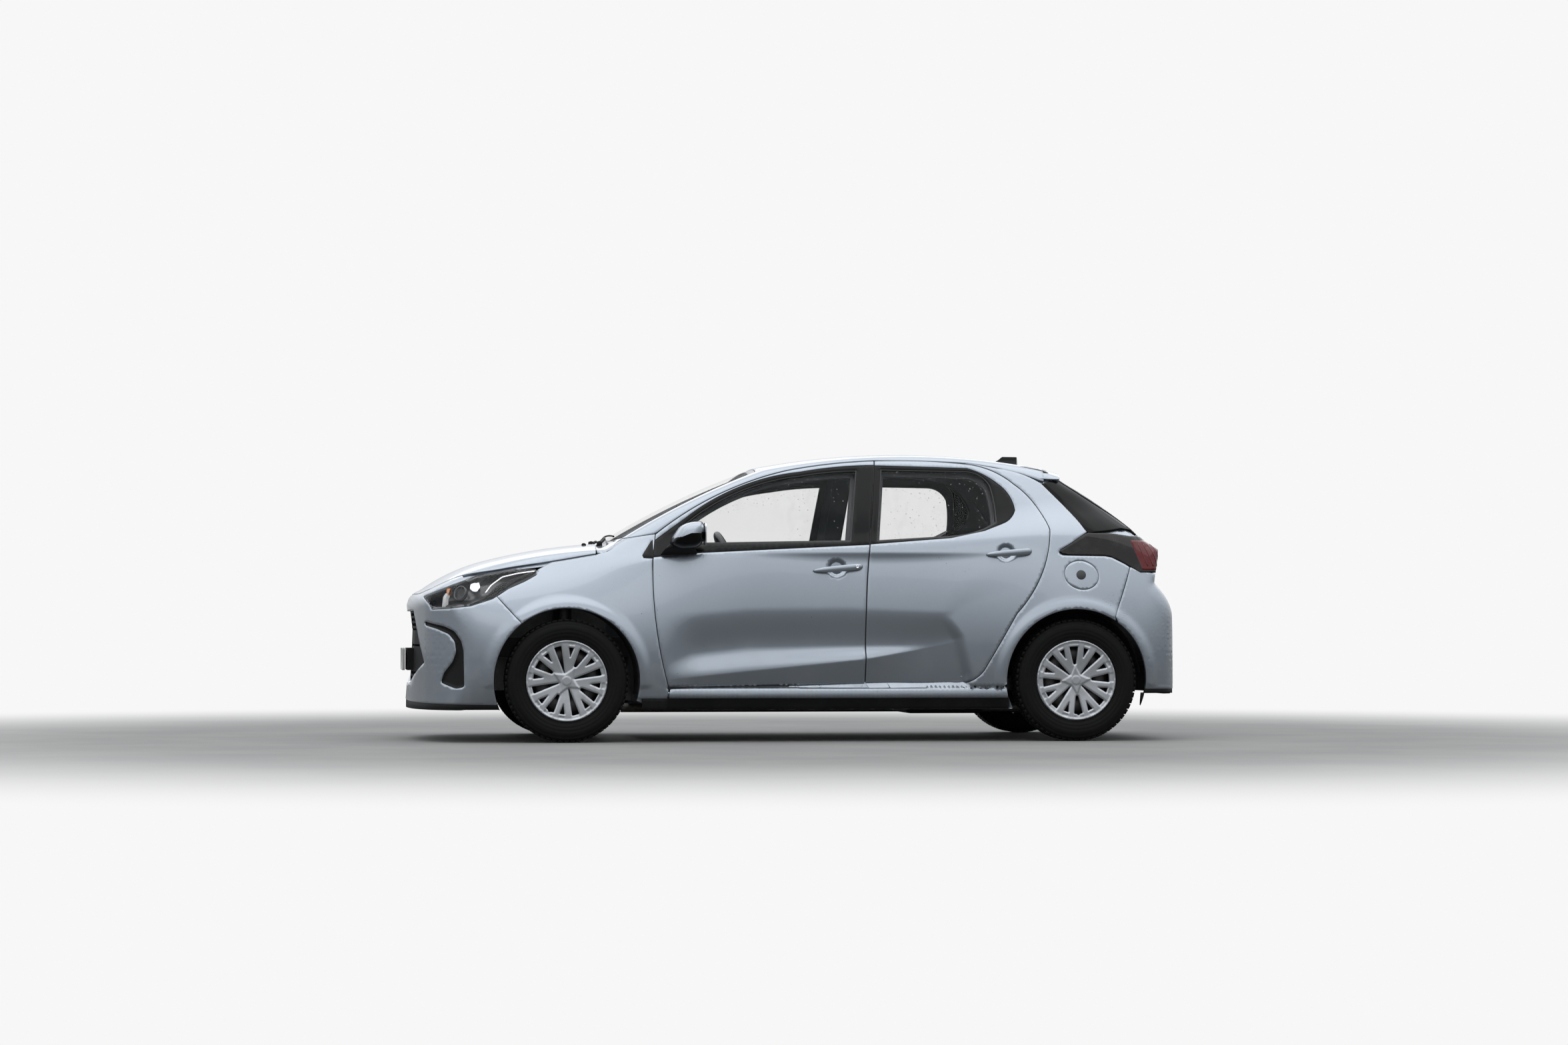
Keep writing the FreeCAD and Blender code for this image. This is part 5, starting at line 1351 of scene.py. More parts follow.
group, node, finish = node_tree("tread_row",
                                [("Count", "Int", 64), ("Radius", "Float", 0.3), ("Width", "Float", 0.03),
                                 ("Place", "Float", 0.0), ("Shift", "Float", 0.0)])
size = node("ShaderNodeCombineXYZ", {"X": 0.0252, "Y": group["Width"], "Z": 0.012})["Vector"]
block = node("GeometryNodeMeshCube", {"Size": size})["Mesh"]
lift = node("ShaderNodeMath", {0: group["Radius"], 1: 0.0063}, operation="SUBTRACT")[0]
where = node("ShaderNodeCombineXYZ", {"Y": group["Place"], "Z": lift})["Vector"]
placed = node("GeometryNodeTransform", {"Geometry": block, "Translation": where})["Geometry"]
dots = node("GeometryNodePoints", {"Count": group["Count"]})["Points"]
step = node("ShaderNodeMath", {0: 2 * math.pi, 1: group["Count"]}, operation="DIVIDE")[0]
index = node("GeometryNodeInputIndex")["Index"]
shifted = node("ShaderNodeMath", {0: index, 1: group["Shift"]}, operation="ADD")[0]
angle = node("ShaderNodeMath", {0: shifted, 1: step}, operation="MULTIPLY")[0]
turn = node("ShaderNodeCombineXYZ", {"Y": angle})["Vector"]
turn = node("FunctionNodeEulerToRotation", {"Euler": turn})["Rotation"]
row = node("GeometryNodeInstanceOnPoints",
           {"Points": dots, "Instance": placed, "Rotation": turn})["Instances"]
tread_row = finish(row, MATERIALS["tyre"])
empty = bpy.data.meshes.new("start")
rows = [evaluated(tread_row, empty, Count=62, Radius=0.3055, Width=width, Place=place, Shift=shift)
        for width, place, shift in (
            (0.036, -0.058, 0.0), (0.024, -0.0225, 0.4), (0.0085, 0.0, 0.0), (0.024, 0.0225, 0.6),
            (0.036, 0.058, 0.2))]
carcass = turned(section, (0, 0, 0), count=120)
tyre = joined(carcass, *rows)
for end, hub_u in AXLES:
    for side, sign in (("left", -1), ("right", 1)):
        piece = make_object(f"tyre_and_tread_{end}_{side}",
                            tyre[0] + (FRONT + hub_u, sign * WHEEL_MIDDLE, HUB), tyre[1], "tyre",
                            f"wheel_{end}_{side}")
        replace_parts(piece, f"tyre_{end}_{side}")
print("a tyre has", len(tyre[1]), "faces, of them", len(tyre[1]) - len(carcass[1]), "in its blocks")

# %% [markdown]
# ## Lamp covers and lights
# Lamp covers are glossy and let light through by their alpha. A little dust keeps them from looking new.

# %% Lamp materials
def lens(name, tint, alpha, shine=1.0):
    """A clear or tinted cover: see-through, glossy and a little dusty."""
    g = Graph(name, Coat_Weight=shine, Coat_Roughness=0.03, Specular_IOR_Level=shine * 0.5)
    haze = g.noise(11.0, 4.0).ramp(0.45, 0.8) * 0.06
    g.feed(Base_Color=g.mix(haze, tint, (0.35, 0.35, 0.34)), Roughness=0.04 + haze, Alpha=haze + alpha)
    g.material.surface_render_method = "BLENDED"
    return g.material


MATERIALS["lens"] = lens("lamp_cover", (0.05, 0.055, 0.06), 0.12)
MATERIALS["smoked"] = lens("smoked_cover", (0.005, 0.003, 0.003), 0.95, 0.25)
MATERIALS["red_lens"] = lens("red_cover", (0.15, 0.001, 0.003), 0.98, 0.25)
# The light guide glows faintly by its emission with the lamps off, which is painted light.
MATERIALS["guide"] = plain("light_guide", (0.7, 0.72, 0.74), (0.85, 0.86, 0.87), 0.25, 0.1, 200.0, 0.0004,
                           Emission_Strength=0.15, Emission_Color=(1.0, 1.0, 1.0, 1.0))
MATERIALS["amber"] = plain("amber_lens", (0.8, 0.22, 0.02), (0.9, 0.3, 0.03), 0.22, 0.1, 200.0, 0.0004,
                           Coat_Weight=0.8)
MATERIALS["lamp_bowl"] = plain("lamp_bowl", (0.03, 0.031, 0.033), (0.06, 0.062, 0.066), 0.3, 0.15, 120.0,
                               0.0008, Metallic=0.3, Coat_Weight=0.3)

print("lamp materials ready")

# %% [markdown]
# ## Headlamps
# A headlamp is a clear cover over a dark bowl, with a reflector, a projector, a slim light guide with an
# amber top and a chrome line inside. The bowl is sunk behind the same outline as the cover, so nothing
# shows between them.

# %% Headlamp pieces
add_pair("headlamp_cover", pressed(SIDEWAYS, [headlamp_loop], inset=-0.0005, depth=0.004, pitch=0.01), "lens")
bowl = dished(SIDEWAYS, grown(headlamp_loop, -0.002), 0.046, 0.034, 0.005, 0.009)
reflector = pressed(SIDEWAYS, [rounded([
    (-0.475, 0.762), (-0.472, 0.797), (-0.43, 0.797), (-0.424, 0.77), (-0.44, 0.748),
    (-0.458, 0.748)], 0.006)], inset=0.026, depth=0.02, pitch=0.008)
guide_white = pressed(SIDEWAYS, [rounded([
    (-0.612, 0.668), (-0.597, 0.668), (-0.594, 0.715), (-0.583, 0.735), (-0.592, 0.742),
    (-0.606, 0.722)], 0.006)], inset=0.012, depth=0.02, pitch=0.008)
amber_loop = rounded([(-0.59, 0.741), (-0.581, 0.734), (-0.57, 0.764), (-0.588, 0.766)], 0.004)
guide_amber = pressed(SIDEWAYS, [amber_loop], inset=0.01, depth=0.02, pitch=0.008)
eye = SIDEWAYS.hit([[-0.52, 0.738]], 0.03)[0]
look = outward(eye[None])[0] * 0.6 + np.array([-0.5, -0.3, 0.0])
rings = turned([(0.036, -0.012), (0.038, 0.01), (0.034, 0.012), (0.031, 0.002), (0.031, -0.012)],
               eye, look, 40)
dome = turned([(0.031, -0.004), (0.026, 0.006), (0.016, 0.012), (0.006, 0.014), (0.0, 0.0142), (0.0, -0.004)],
              eye, look, 40)
wedge_loop = rounded([
    (-0.48, 0.682), (-0.4, 0.72), (-0.34, 0.78), (-0.25, 0.815), (-0.16, 0.848), (-0.15, 0.853),
    (-0.166, 0.832), (-0.26, 0.796), (-0.33, 0.74), (-0.4, 0.702), (-0.478, 0.676)], 0.02)
wedge = pressed(SIDEWAYS, [wedge_loop], inset=0.006, depth=0.02, pitch=0.01)
chrome_line = gap_strip(along_line([
    (-0.4, 0.745), (-0.372, 0.782), (-0.315, 0.824), (-0.24, 0.842), (-0.155, 0.854)], 40), 0.005, 0.0055)
add_pair("headlamp_bowl", joined(bowl, rings), "lamp_bowl")
add_pair("headlamp_reflector", reflector, "chrome", slot="lamp")
add_pair("headlamp_chrome_line", chrome_line, "chrome", slot="lamp")
add_pair("headlamp_wedge", wedge, "gloss_black", slot="lamp")
add_pair("headlamp_projector", dome, "lens")
add_pair("headlamp_guide", guide_white, "guide")
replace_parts(add_pair("headlamp_amber", guide_amber, "amber")[0], "headlamps")
print("headlamp bowl:", len(bowl[1]), "faces")

# %% [markdown]
# ## Tail lamps
# The tail lamps wrap round the corner. They are black when off, with a red window where they turn to the
# back.

# %% Tail lamp pieces
top_side = seen_from(TAIL_ROUND, along_line([
    (2.483, 0.955), (2.541, 0.99), (2.61, 1.036), (2.632, 1.048), (2.773, 1.046), (2.86, 1.034)], 30))
low_side = seen_from(TAIL_ROUND, along_line([
    (2.9, 0.848), (2.82, 0.893), (2.755, 0.926), (2.719, 0.934), (2.6, 0.935), (2.528, 0.936),
    (2.497, 0.943)], 24))
back_edge = seen_from(TAIL_ROUND, along_line([
    (-0.616, 1.034), (-0.598, 1.022), (-0.556, 0.935), (-0.549, 0.848)], 16), BEHIND)
lamp_round = np.vstack([top_side, back_edge, low_side])
cover_part = pressed(TAIL_ROUND, [lamp_round], inset=-0.0008, depth=0.02, pitch=0.01)
add_pair("tail_lamp_cover", cover_part, "smoked")
red_side = seen_from(TAIL_ROUND, along_line([(2.858, 1.012), (2.912, 0.862)], 12))
red_back = np.stack([np.interp(red_side[::-1, 1], back_edge[::-1, 1], back_edge[::-1, 0]) + 0.02,
                     red_side[::-1, 1]], -1)
red_loop = rounded(np.vstack([red_side, red_back]), 0.01, 3)
red_inner = grown(red_loop, -0.007)
red = pressed(TAIL_ROUND, [red_loop], inset=-0.0016, depth=0.004, pitch=0.01)
add_pair("tail_lamp_red", red, "red_lens")
bars = []
for k in range(4):
    t0 = 0.14 + 0.19 * k
    low_line = red_inner.mean(0) + (red_side - red_side.mean(0)) * 0.75
    shift = np.array([(red_back[:, 0].mean() - red_side[:, 0].mean()) * (t0 - 0.42), 0.0])
    bars.append(gap_strip(low_line + shift, 0.006, -0.003, TAIL_ROUND))
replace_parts(add_pair("tail_lamp_bars", joined(*bars), "red_lens")[0], "tail_lamps")
reflector_loop = rounded([(0.3, 0.462), (0.335, 0.462), (0.335, 0.52), (0.3, 0.52)], 0.006)
add_pair("rear_reflector", pressed(TAIL_ROUND, [reflector_loop], inset=-0.002, depth=0.006, pitch=0.01),
         "red_lens")
print("tail lamp outline from", lamp_round.min(0).round(3), "to", lamp_round.max(0).round(3))

# %% [markdown]
# ## Mirrors
# The mirror is a swept shell whose outline shrinks towards its outer end: silver above, black below, with a
# black foot. Its glass looks back.

# %% Mirrors
MIRROR = rounded([
    (0.503, 0.985), (0.52, 1.03), (0.56, 1.085), (0.61, 1.104), (0.676, 1.108), (0.684, 1.06), (0.676, 0.992),
    (0.64, 0.968), (0.56, 0.962)], 0.03, 6)
centre = np.array([0.606, 1.036])
shell_rings = []
for t in np.linspace(0, 1, 18):
    scale = 0.88 * (1 - max(0, (0.25 - t) / 0.25) ** 3 * 0.35) * (1 - t ** 5) ** 0.4 + 0.12 * (1 - t)
    outline = centre + (MIRROR - centre) * scale + (0.0, -0.01 * (1 - t))
    sweep = 0.02 * (1 - t) ** 2 * (outline[:, 0] - centre[0]) / 0.1
    shell_rings.append(np.stack([outline[:, 0] + FRONT, -0.802 - 0.181 * t - sweep * 0.3, outline[:, 1]], -1))
shell_points, shell_faces = swept(shell_rings)
upper = [f for f in shell_faces if shell_points[list(f)][:, 2].mean() > 1.012 + 0.2 * (
    shell_points[list(f)][:, 0].mean() - FRONT - 0.52)]
lower = [f for f in shell_faces if f not in set(upper)]
foot_loop = rounded([(0.47, 0.945), (0.5, 0.975), (0.64, 0.975), (0.655, 0.945)], 0.015, 4)
foot = swept([np.stack([FRONT + 0.56 + (foot_loop[:, 0] - 0.56) * s, np.full(len(foot_loop), y),
                        foot_loop[:, 1] + dz], -1) for y, s, dz in
              ((-0.752, 1.1, -0.02), (-0.775, 1.05, -0.014), (-0.805, 0.95, 0.0), (-0.835, 0.85, 0.012),
               (-0.865, 0.6, 0.022))])
mirror_glass = rounded([
    (-0.952, 0.992), (-0.955, 1.078), (-0.935, 1.09), (-0.835, 1.084), (-0.825, 1.07), (-0.828, 0.99),
    (-0.85, 0.98), (-0.94, 0.982)], 0.015, 5)
face_x = FRONT + 0.683
glass_part = swept([np.stack([np.full(len(mirror_glass), x), mirror_glass[:, 0], mirror_glass[:, 1]], -1)
                    for x in (face_x - 0.006, face_x)])
FRONT_DOORS = ("front_door_left", "front_door_right")
add_pair("mirror_cap", (shell_points, upper), "paint", FRONT_DOORS)
add_pair("mirror_underside", (shell_points, lower), "gloss_black", FRONT_DOORS)
add_pair("mirror_glass", glass_part, "chrome", FRONT_DOORS)
for side, piece in zip(("left", "right"), add_pair("mirror_foot", foot, "black_trim", FRONT_DOORS)):
    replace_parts(piece, f"mirror_{side}")
print("mirror shell:", len(shell_faces), "faces,", len(upper), "of them silver")

# %% [markdown]
# ## Door handles
# Each handle is a slim bar that tapers forwards, with a round cup pressed into the door behind it. The left
# front handle has a lock, and the fuel flap a plain round button.

# %% Door handles
HANDLES = {"front_door": (1.2286, 0.8527, 1.4817, 0.875), "rear_door": (2.107, 0.936, 2.341, 0.9537)}
HANDLE_AT = np.array([0.0, 0.01, 0.03, 0.08, 0.2, 0.35, 0.5, 0.65, 0.8, 0.9, 0.96, 0.99, 1.0])
HANDLE_HALF = np.array([
    0.001, 0.004, 0.007, 0.01, 0.0135, 0.015, 0.0158, 0.0162, 0.0165, 0.016, 0.013, 0.007, 0.001])
HANDLE_OUT = np.array([
    0.002, 0.004, 0.008, 0.014, 0.022, 0.027, 0.029, 0.028, 0.025, 0.02, 0.014, 0.008, 0.003])
for name, (u0, z0, u1, z1) in HANDLES.items():
    line = np.stack([u0 + (u1 - u0) * HANDLE_AT, z0 + (z1 - z0) * HANDLE_AT], -1)
    base = SIDEWAYS.hit(line)
    angle = np.arange(16) * math.pi / 8
    bar = swept([np.stack([np.full(16, p[0]), p[1] - o + 0.0075 * np.cos(angle) * min(1, h / 0.008),
                           p[2] + h * np.sin(angle)], -1) for p, o, h in zip(base, HANDLE_OUT, HANDLE_HALF)])
    posts = joined(*[turned([(0.011, -0.012), (0.012, 0.02), (0.0, 0.02), (0.0, -0.012)],
                            SIDEWAYS.hit([line[k]])[0], (0, -1, 0), 16)
                     for k in (4, 9)])
    cup = dished(SIDEWAYS, CUPS[name], 0.014, 0.02, 0.0004, 0.006)
    add_pair(f"{name}_handle", joined(bar, posts), "paint", (f"{name}_left", f"{name}_right"))
    add_pair(f"{name}_cup", cup, "paint", (f"{name}_left", f"{name}_right"))
lock_at = SIDEWAYS.hit([[1.4496, 0.874]])[0] + (0, -0.029, 0)
lock = turned([
    (0.0075, 0.0), (0.008, 0.003), (0.0062, 0.0036), (0.0055, 0.0026), (0.0, 0.0028), (0.0, 0.0)],
    lock_at, (0, -1, 0), 24)
make_object("door_lock", *lock, "chrome", "front_door_left")
badge_at = SIDEWAYS.hit([[2.588, 0.835]])[0]
badge = turned([(0.024, -0.002), (0.0245, 0.001), (0.0225, 0.0022), (0.0, 0.003), (0.0, -0.002)], badge_at,
               outward(badge_at[None])[0], 32)
make_object("flap_button", *badge, "iron", "fuel_flap")
print("handles on", ", ".join(HANDLES))

# %% [markdown]
# ## Spoiler, fin, wipers and plate
# The spoiler carries the roof's line on past the rear window and ends in a thin lip. It is swept across the
# car on the roof's own crown. The fin stands on the roof's middle, and two wipers rest at the foot of the
# windscreen.

# %% Small pieces on top
spoiler_section = rounded([
    (-0.104, 1.4034), (-0.05, 1.3945), (0.0125, 1.3765), (0.012, 1.362), (0.004, 1.334),
    (-0.06, 1.36)], 0.006, 5)
spoiler_rings = []
for angle in np.radians(np.linspace(-5.9, 5.9, 41)):
    t = abs(angle) / math.radians(5.9)
    shrink = 1 - 0.9 * max(0.0, (t - 0.93) / 0.07) ** 2
    x = REAR + spoiler_section[:, 0] - 0.05 * t ** 3
    middle = spoiler_section[:, 1].mean() - 0.002
    radius = CROWN + middle + (spoiler_section[:, 1] - middle) * shrink - 0.0125 * t ** 3
    spoiler_rings.append(np.stack([x, radius * math.sin(angle), radius * math.cos(angle) - CROWN], -1))
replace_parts(make_object("spoiler_blade", *swept(spoiler_rings), "paint", "tailgate"), "spoiler")
brake_bar = rounded([(-0.12, 0.0), (-0.12, 0.012), (0.12, 0.012), (0.12, 0.0)], 0.004, 4)
brake = swept([np.stack([np.full(len(brake_bar), REAR + x), brake_bar[:, 0], 1.345 + brake_bar[:, 1] + x], -1)
               for x in (-0.004, 0.0095)])
make_object("third_brake_lamp", *brake, "red_lens", "tailgate")

fin_rings = []
for t in np.linspace(0, 1, 12):
    front_x, back_x = 1.08 + 0.085 * t ** 0.8, 1.25 - 0.007 * t
    half = 0.024 * (1 - t) ** 1.6 + 0.0055 - 0.0015 * t
    place = np.linspace(0, 1, 13)
    width = half * np.sqrt(np.clip(np.sin(math.pi * np.minimum(place * 0.62, 1)), 0,
                                   1)) * (0.35 + 0.65 * place ** 0.6)
    width[-1] *= 0.75
    x = front_x + (back_x - front_x) * place
    roof = ABOVE.hit(np.stack([x - FRONT, np.zeros(13)], -1))[:, 2] - 0.002
    top = np.interp(x, [1.08, 1.1, 1.159, 1.245, 1.25], [1.432, 1.449, 1.4665, 1.4655, 1.462])
    z = roof + (top - roof) * t
    fin_rings.append(np.vstack([np.stack([x, width, z], -1), np.stack([x, -width, z], -1)[::-1][1:-1]]))
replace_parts(make_object("roof_fin", *swept(fin_rings), "gloss_black", "body"), "antenna_fin")


def on_screen(places, lift):
    """Points above the windscreen or cowl."""
    return ABOVE.hit(np.array(places), -lift)


wipers = []
for pivot, elbow, blade_start, blade_end in (((0.19, -0.42), (0.232, -0.2), (0.262, -0.43), (0.25, 0.1)),
                                             ((0.188, 0.18), (0.23, 0.38), (0.262, 0.15), (0.255, 0.56))):
    arm = along_line([pivot, (np.array(pivot) + elbow) / 2 + (0.012, 0.0), elbow], 14)
    wipers.append(tube(on_screen(arm, 0.014), np.linspace(0.009, 0.005, 14), 10))
    wipers.append(tube(on_screen(along_line([blade_start, blade_end], 30), 0.009), 0.0045, 8))
    wipers.append(turned([(0.014, -0.01), (0.014, 0.016), (0.01, 0.021), (0.0, 0.022), (0.0, -0.01)],
                         on_screen([pivot], 0.0)[0], (0, 0, 1), 24))
make_object("wipers", *joined(*wipers), "black_trim", "body")
washers = joined(*[turned([(0.012, -0.004), (0.012, 0.004), (0.007, 0.01), (0.0, 0.011), (0.0, -0.004)],
                          ABOVE.hit([[0.12, y]])[0], (0, 0, 1), 20) for y in (-0.28, 0.28)])
make_object("washer_jets", *washers, "black_trim", "hood_lid")
rear_pivot = BEHIND.hit([[0.0, 1.085]])[0]
rear_wiper = joined(turned([(0.02, -0.01), (0.021, 0.018), (0.015, 0.03), (0.0, 0.032), (0.0, -0.01)],
                           rear_pivot, (1, 0, 0.5), 28),
                    tube(BEHIND.hit(along_line([(0.0, 1.085), (0.1, 1.105), (0.26, 1.125)], 14), -0.02),
                         np.linspace(0.01, 0.006, 14), 10),
                    tube(BEHIND.hit(along_line([(0.04, 1.112), (0.36, 1.14)], 20), -0.01), 0.005, 8))
make_object("rear_wiper", *rear_wiper, "black_trim", "tailgate")

plate_low, plate_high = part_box("number_plate")
plate_loop = rounded([
    (plate_low[1], plate_low[2]), (plate_high[1], plate_low[2]), (plate_high[1], plate_high[2]),
    (plate_low[1], plate_high[2])], 0.01, 6)
steps = [np.stack([np.full(len(plate_loop), plate_low[0] + 0.008 - x), *grown(plate_loop, -g).T], -1) for x,
         g in
         ((-0.004, 0.0), (0.0075, 0.0), (0.008, 0.001), (0.0078, 0.004), (0.0066, 0.006))]
MATERIALS["plate"] = plain("plate_white", (0.6, 0.6, 0.58), (0.68, 0.68, 0.66), 0.35, 0.2, 240.0, 0.0003)
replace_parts(make_object("plate_blank", *swept(steps), "plate", "body"), "number_plate")
print("small pieces done; plate", [round(v, 3) for v in (*plate_low, *plate_high)])

# %% [markdown]
# ## Seats
# The seats are padded: foam pushes a sewn cover outwards between its seams. Each cushion starts as a
# slightly small rounded block, becomes cloth under a light inner pressure for twenty steps, and is then
# held near its start, so that it swells like a filled cover. The sewn channels are pressed in afterwards,
# because remeshing would lose them.

# %% Cushions by cloth simulation
def block(profile, low, high, corner=0.03, edge=0.035):
    """A rounded block: a profile in x and z carried across from one y to another."""
    loop = rounded(profile, corner, 6)
    rings = []
    for t in (0.0, 0.15, 0.4, 1.0):
        rings.append((low + edge * t, -edge * (1 - math.sqrt(1 - (1 - t) ** 2))))
    rings += [(low + edge + (high - low - 2 * edge) * k / 10, 0.0) for k in range(1, 10)]
    rings += [(high - (y - low), g) for y, g in rings[3::-1]]
    return swept([np.stack([grown(loop, g)[:, 0], np.full(len(loop), y), grown(loop, g)[:, 1]], -1) for y,
                  g in rings])


VOXEL, QUICK_VOXEL = 0.006, 0.012
CLOTH_STEPS = 20


def plumped(points, faces, cap):
    """A closed form as a filled cover."""
    mesh = bpy.data.meshes.new("pad")
    mesh.from_pydata([tuple(p) for p in points], [], faces)
    pad = bpy.data.objects.new("pad", mesh)
    bpy.context.collection.objects.link(pad)
    remesh = pad.modifiers.new("remesh", "REMESH")
    remesh.mode, remesh.voxel_size = "VOXEL", VOXEL
    pad.data = bpy.data.meshes.new_from_object(pad.evaluated_get(bpy.context.evaluated_depsgraph_get()))
    pad.modifiers.clear()
    start = np.array([v.co for v in pad.data.vertices])
    moved = start.copy()
    cloth = pad.modifiers.new("cloth", "CLOTH")
    cloth.settings.use_pressure = True
    cloth.settings.uniform_pressure_force = 4.0
    cloth.settings.effector_weights.gravity = 0.0
    cloth.settings.quality = 4
    cloth.point_cache.frame_start, cloth.point_cache.frame_end = 1, CLOTH_STEPS
    for step in range(1, CLOTH_STEPS + 1):
        bpy.context.scene.frame_set(step)
    shape = pad.evaluated_get(bpy.context.evaluated_depsgraph_get()).data
    moved = np.array([v.co for v in shape.vertices])
    pad.modifiers.clear()
    bpy.context.scene.frame_set(1)
    move = moved - start
    length = np.maximum(np.linalg.norm(move, axis=1), 1e-9)
    moved = start + move * np.minimum(1, cap / length)[:, None]
    faces = [tuple(f.vertices) for f in pad.data.polygons]
    bpy.data.objects.remove(pad)
    return moved, faces


def channelled(points, faces, seams, depth=0.007, width=0.007):
    """Channels sewn along lines given as a distance field of the place."""
    mesh = bpy.data.meshes.new("sewn")
    mesh.from_pydata([tuple(p) for p in points], [], faces)
    normals = np.array([v.normal for v in mesh.vertices])
    near = np.min([np.abs(seam(points)) for seam in seams], axis=0)
    bpy.data.meshes.remove(mesh)
    return points - normals * (depth * np.exp(-(near / width) ** 2))[:, None], faces


def fabric():
    g = Graph("seat_fabric", Sheen_Weight=0.35, Sheen_Roughness=0.5, Specular_IOR_Level=0.25)
    warp, weft = (g.node("ShaderNodeTexWave", {"wave_type": "BANDS", "bands_direction": way},
                         {"Vector": g.place, "Scale": 320.0, "Distortion": 1.5}, output="Fac")
                         for way in "YX")
    weave = warp * weft
    cloud = g.noise(8.0, 4.0)
    g.feed(Base_Color=g.mix(weave * 0.6 + cloud * 0.3, (0.018, 0.019, 0.022), (0.062, 0.064, 0.07)),
           Roughness=0.8 + weave * 0.12)
    return g.bump(weave, 0.0008, 0.6).material


MATERIALS["fabric"] = fabric()
SEAT_X, SEAT_Y, SEAT_Z = FRONT + 0.94, -0.37, 0.2143  # where the left seat's outlines start
SEAT = ([(-0.008, 0.012), (-0.008, 0.128), (0.03, 0.16), (0.466, 0.124), (0.49, 0.02)],
        [(0.484, 0.09), (0.612, 0.586), (0.65, 0.6), (0.692, 0.592), (0.628, 0.07), (0.58, 0.025),
         (0.51, 0.02)],
        [(0.63, 0.628), (0.638, 0.745), (0.662, 0.77), (0.7, 0.764), (0.694, 0.628)])
HALF_WIDTHS = (0.226, 0.226, 0.115)
pads = []
for k, (profile, half) in enumerate(zip(SEAT, HALF_WIDTHS)):
    shape = block([(x + SEAT_X, z + SEAT_Z) for x, z in profile], SEAT_Y - half, SEAT_Y + half, 0.03, 0.04)
    pad = plumped(*shape, cap=0.011)
    if k < 2:
        pad = channelled(*pad, [lambda p: np.abs(p[:, 1] - SEAT_Y) - 0.135,
                                (lambda p: p[:, 0] - SEAT_X - 0.2) if k == 0 else (lambda p: p[:, 2]
                                                                                    - SEAT_Z - 0.42)])
    pads.append(pad)
posts = joined(*[tube([(SEAT_X + 0.662, SEAT_Y + y, SEAT_Z + 0.56),
                       (SEAT_X + 0.664, SEAT_Y + y, SEAT_Z + 0.66)], 0.006, 10) for y in (-0.05, 0.05)])
seats = add_pair("front_seat_covers", joined(*pads), "fabric")[0]
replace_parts(seats, "front_seats")
add_pair("head_rest_posts", posts, "chrome")
BENCH_X = REAR - 0.384
BENCH = ([(-0.482, 0.222), (-0.494, 0.335), (-0.455, 0.372), (-0.135, 0.336), (-0.11, 0.222)],
         [(-0.105, 0.352), (0.042, 0.776), (0.066, 0.812), (0.114, 0.818), (0.128, 0.796), (0.05, 0.412),
          (-0.01, 0.412), (-0.02, 0.24), (-0.1, 0.232)])
pads = []
for k, profile in enumerate(BENCH):
    pad = plumped(*block([(x + BENCH_X, z) for x, z in profile], -0.518, -0.004, 0.03, 0.035), cap=0.009)
    pads.append(channelled(*pad, [lambda p: p[:, 1] + 0.18, lambda p: p[:, 1] + 0.42]))
bench = add_pair("rear_bench_covers", joined(*pads), "fabric")[0]
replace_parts(bench, "rear_bench")
tank = block([(0.59, 0.132), (0.986, 0.132), (0.986, 0.188), (0.59, 0.188)], -0.448, 0.088, 0.02, 0.02)
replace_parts(make_object("fuel_tank_shell", *tank, "black_trim", "body"), "fuel_tank")
print("seats:", len(seats.data.polygons), "faces; bench:", len(bench.data.polygons))

# %% [markdown]
# ## Rain drops
# The side windows carry dried rain drops, more at their upper front and rear edges. Geometry Nodes scatter
# a low drop over each pane with a fixed seed and a random size, turned to the glass.

# %% Drops on the glass
group, node, finish = node_tree("drops", [
    ("Density", "Float", 900.0), ("Seed", "Int", 3), ("Largest", "Float", 0.0028)])
spots = node("GeometryNodeDistributePointsOnFaces", {"Mesh": group["Geometry"], "Density": group["Density"],
                                                     "Seed": group["Seed"]})
drop = node("GeometryNodeMeshIcoSphere", {"Radius": 1.0, "Subdivisions": 2})["Mesh"]
drop = node("GeometryNodeTransform", {"Geometry": drop, "Scale": (1.0, 1.0, 0.35)})["Geometry"]
chance = node("FunctionNodeRandomValue", {"Min": 0.0, "Max": 1.0, "Seed": 11}, data_type="FLOAT")
chance = [s for s in chance if s.name == "Value" and s.enabled][0]
power = node("ShaderNodeMath", {0: chance, 1: 3.0}, operation="POWER")[0]
power = node("ShaderNodeMath", {0: power, 1: 0.7, 2: 0.3}, operation="MULTIPLY_ADD")[0]
scale = node("ShaderNodeMath", {0: power, 1: group["Largest"]}, operation="MULTIPLY")[0]
drops = node("GeometryNodeInstanceOnPoints",
             {"Points": spots["Points"], "Instance": drop, "Rotation": spots["Rotation"],
              "Scale": scale})["Instances"]
MATERIALS["water"] = lens("water", (0.8, 0.84, 0.88), 0.45)
drop_tree = finish(drops, MATERIALS["water"])


def pane_part(loop):
    """A part of the pane on which drops lie, as a mesh."""
    points, faces = pressed(SIDEWAYS, [loop], inset=0.0055, depth=0.0, pitch=0.03)
    mesh = bpy.data.meshes.new("pane_part")
    mesh.from_pydata([tuple(p) for p in points], [], [tuple(int(i) for i in f) for f in faces])
    return mesh


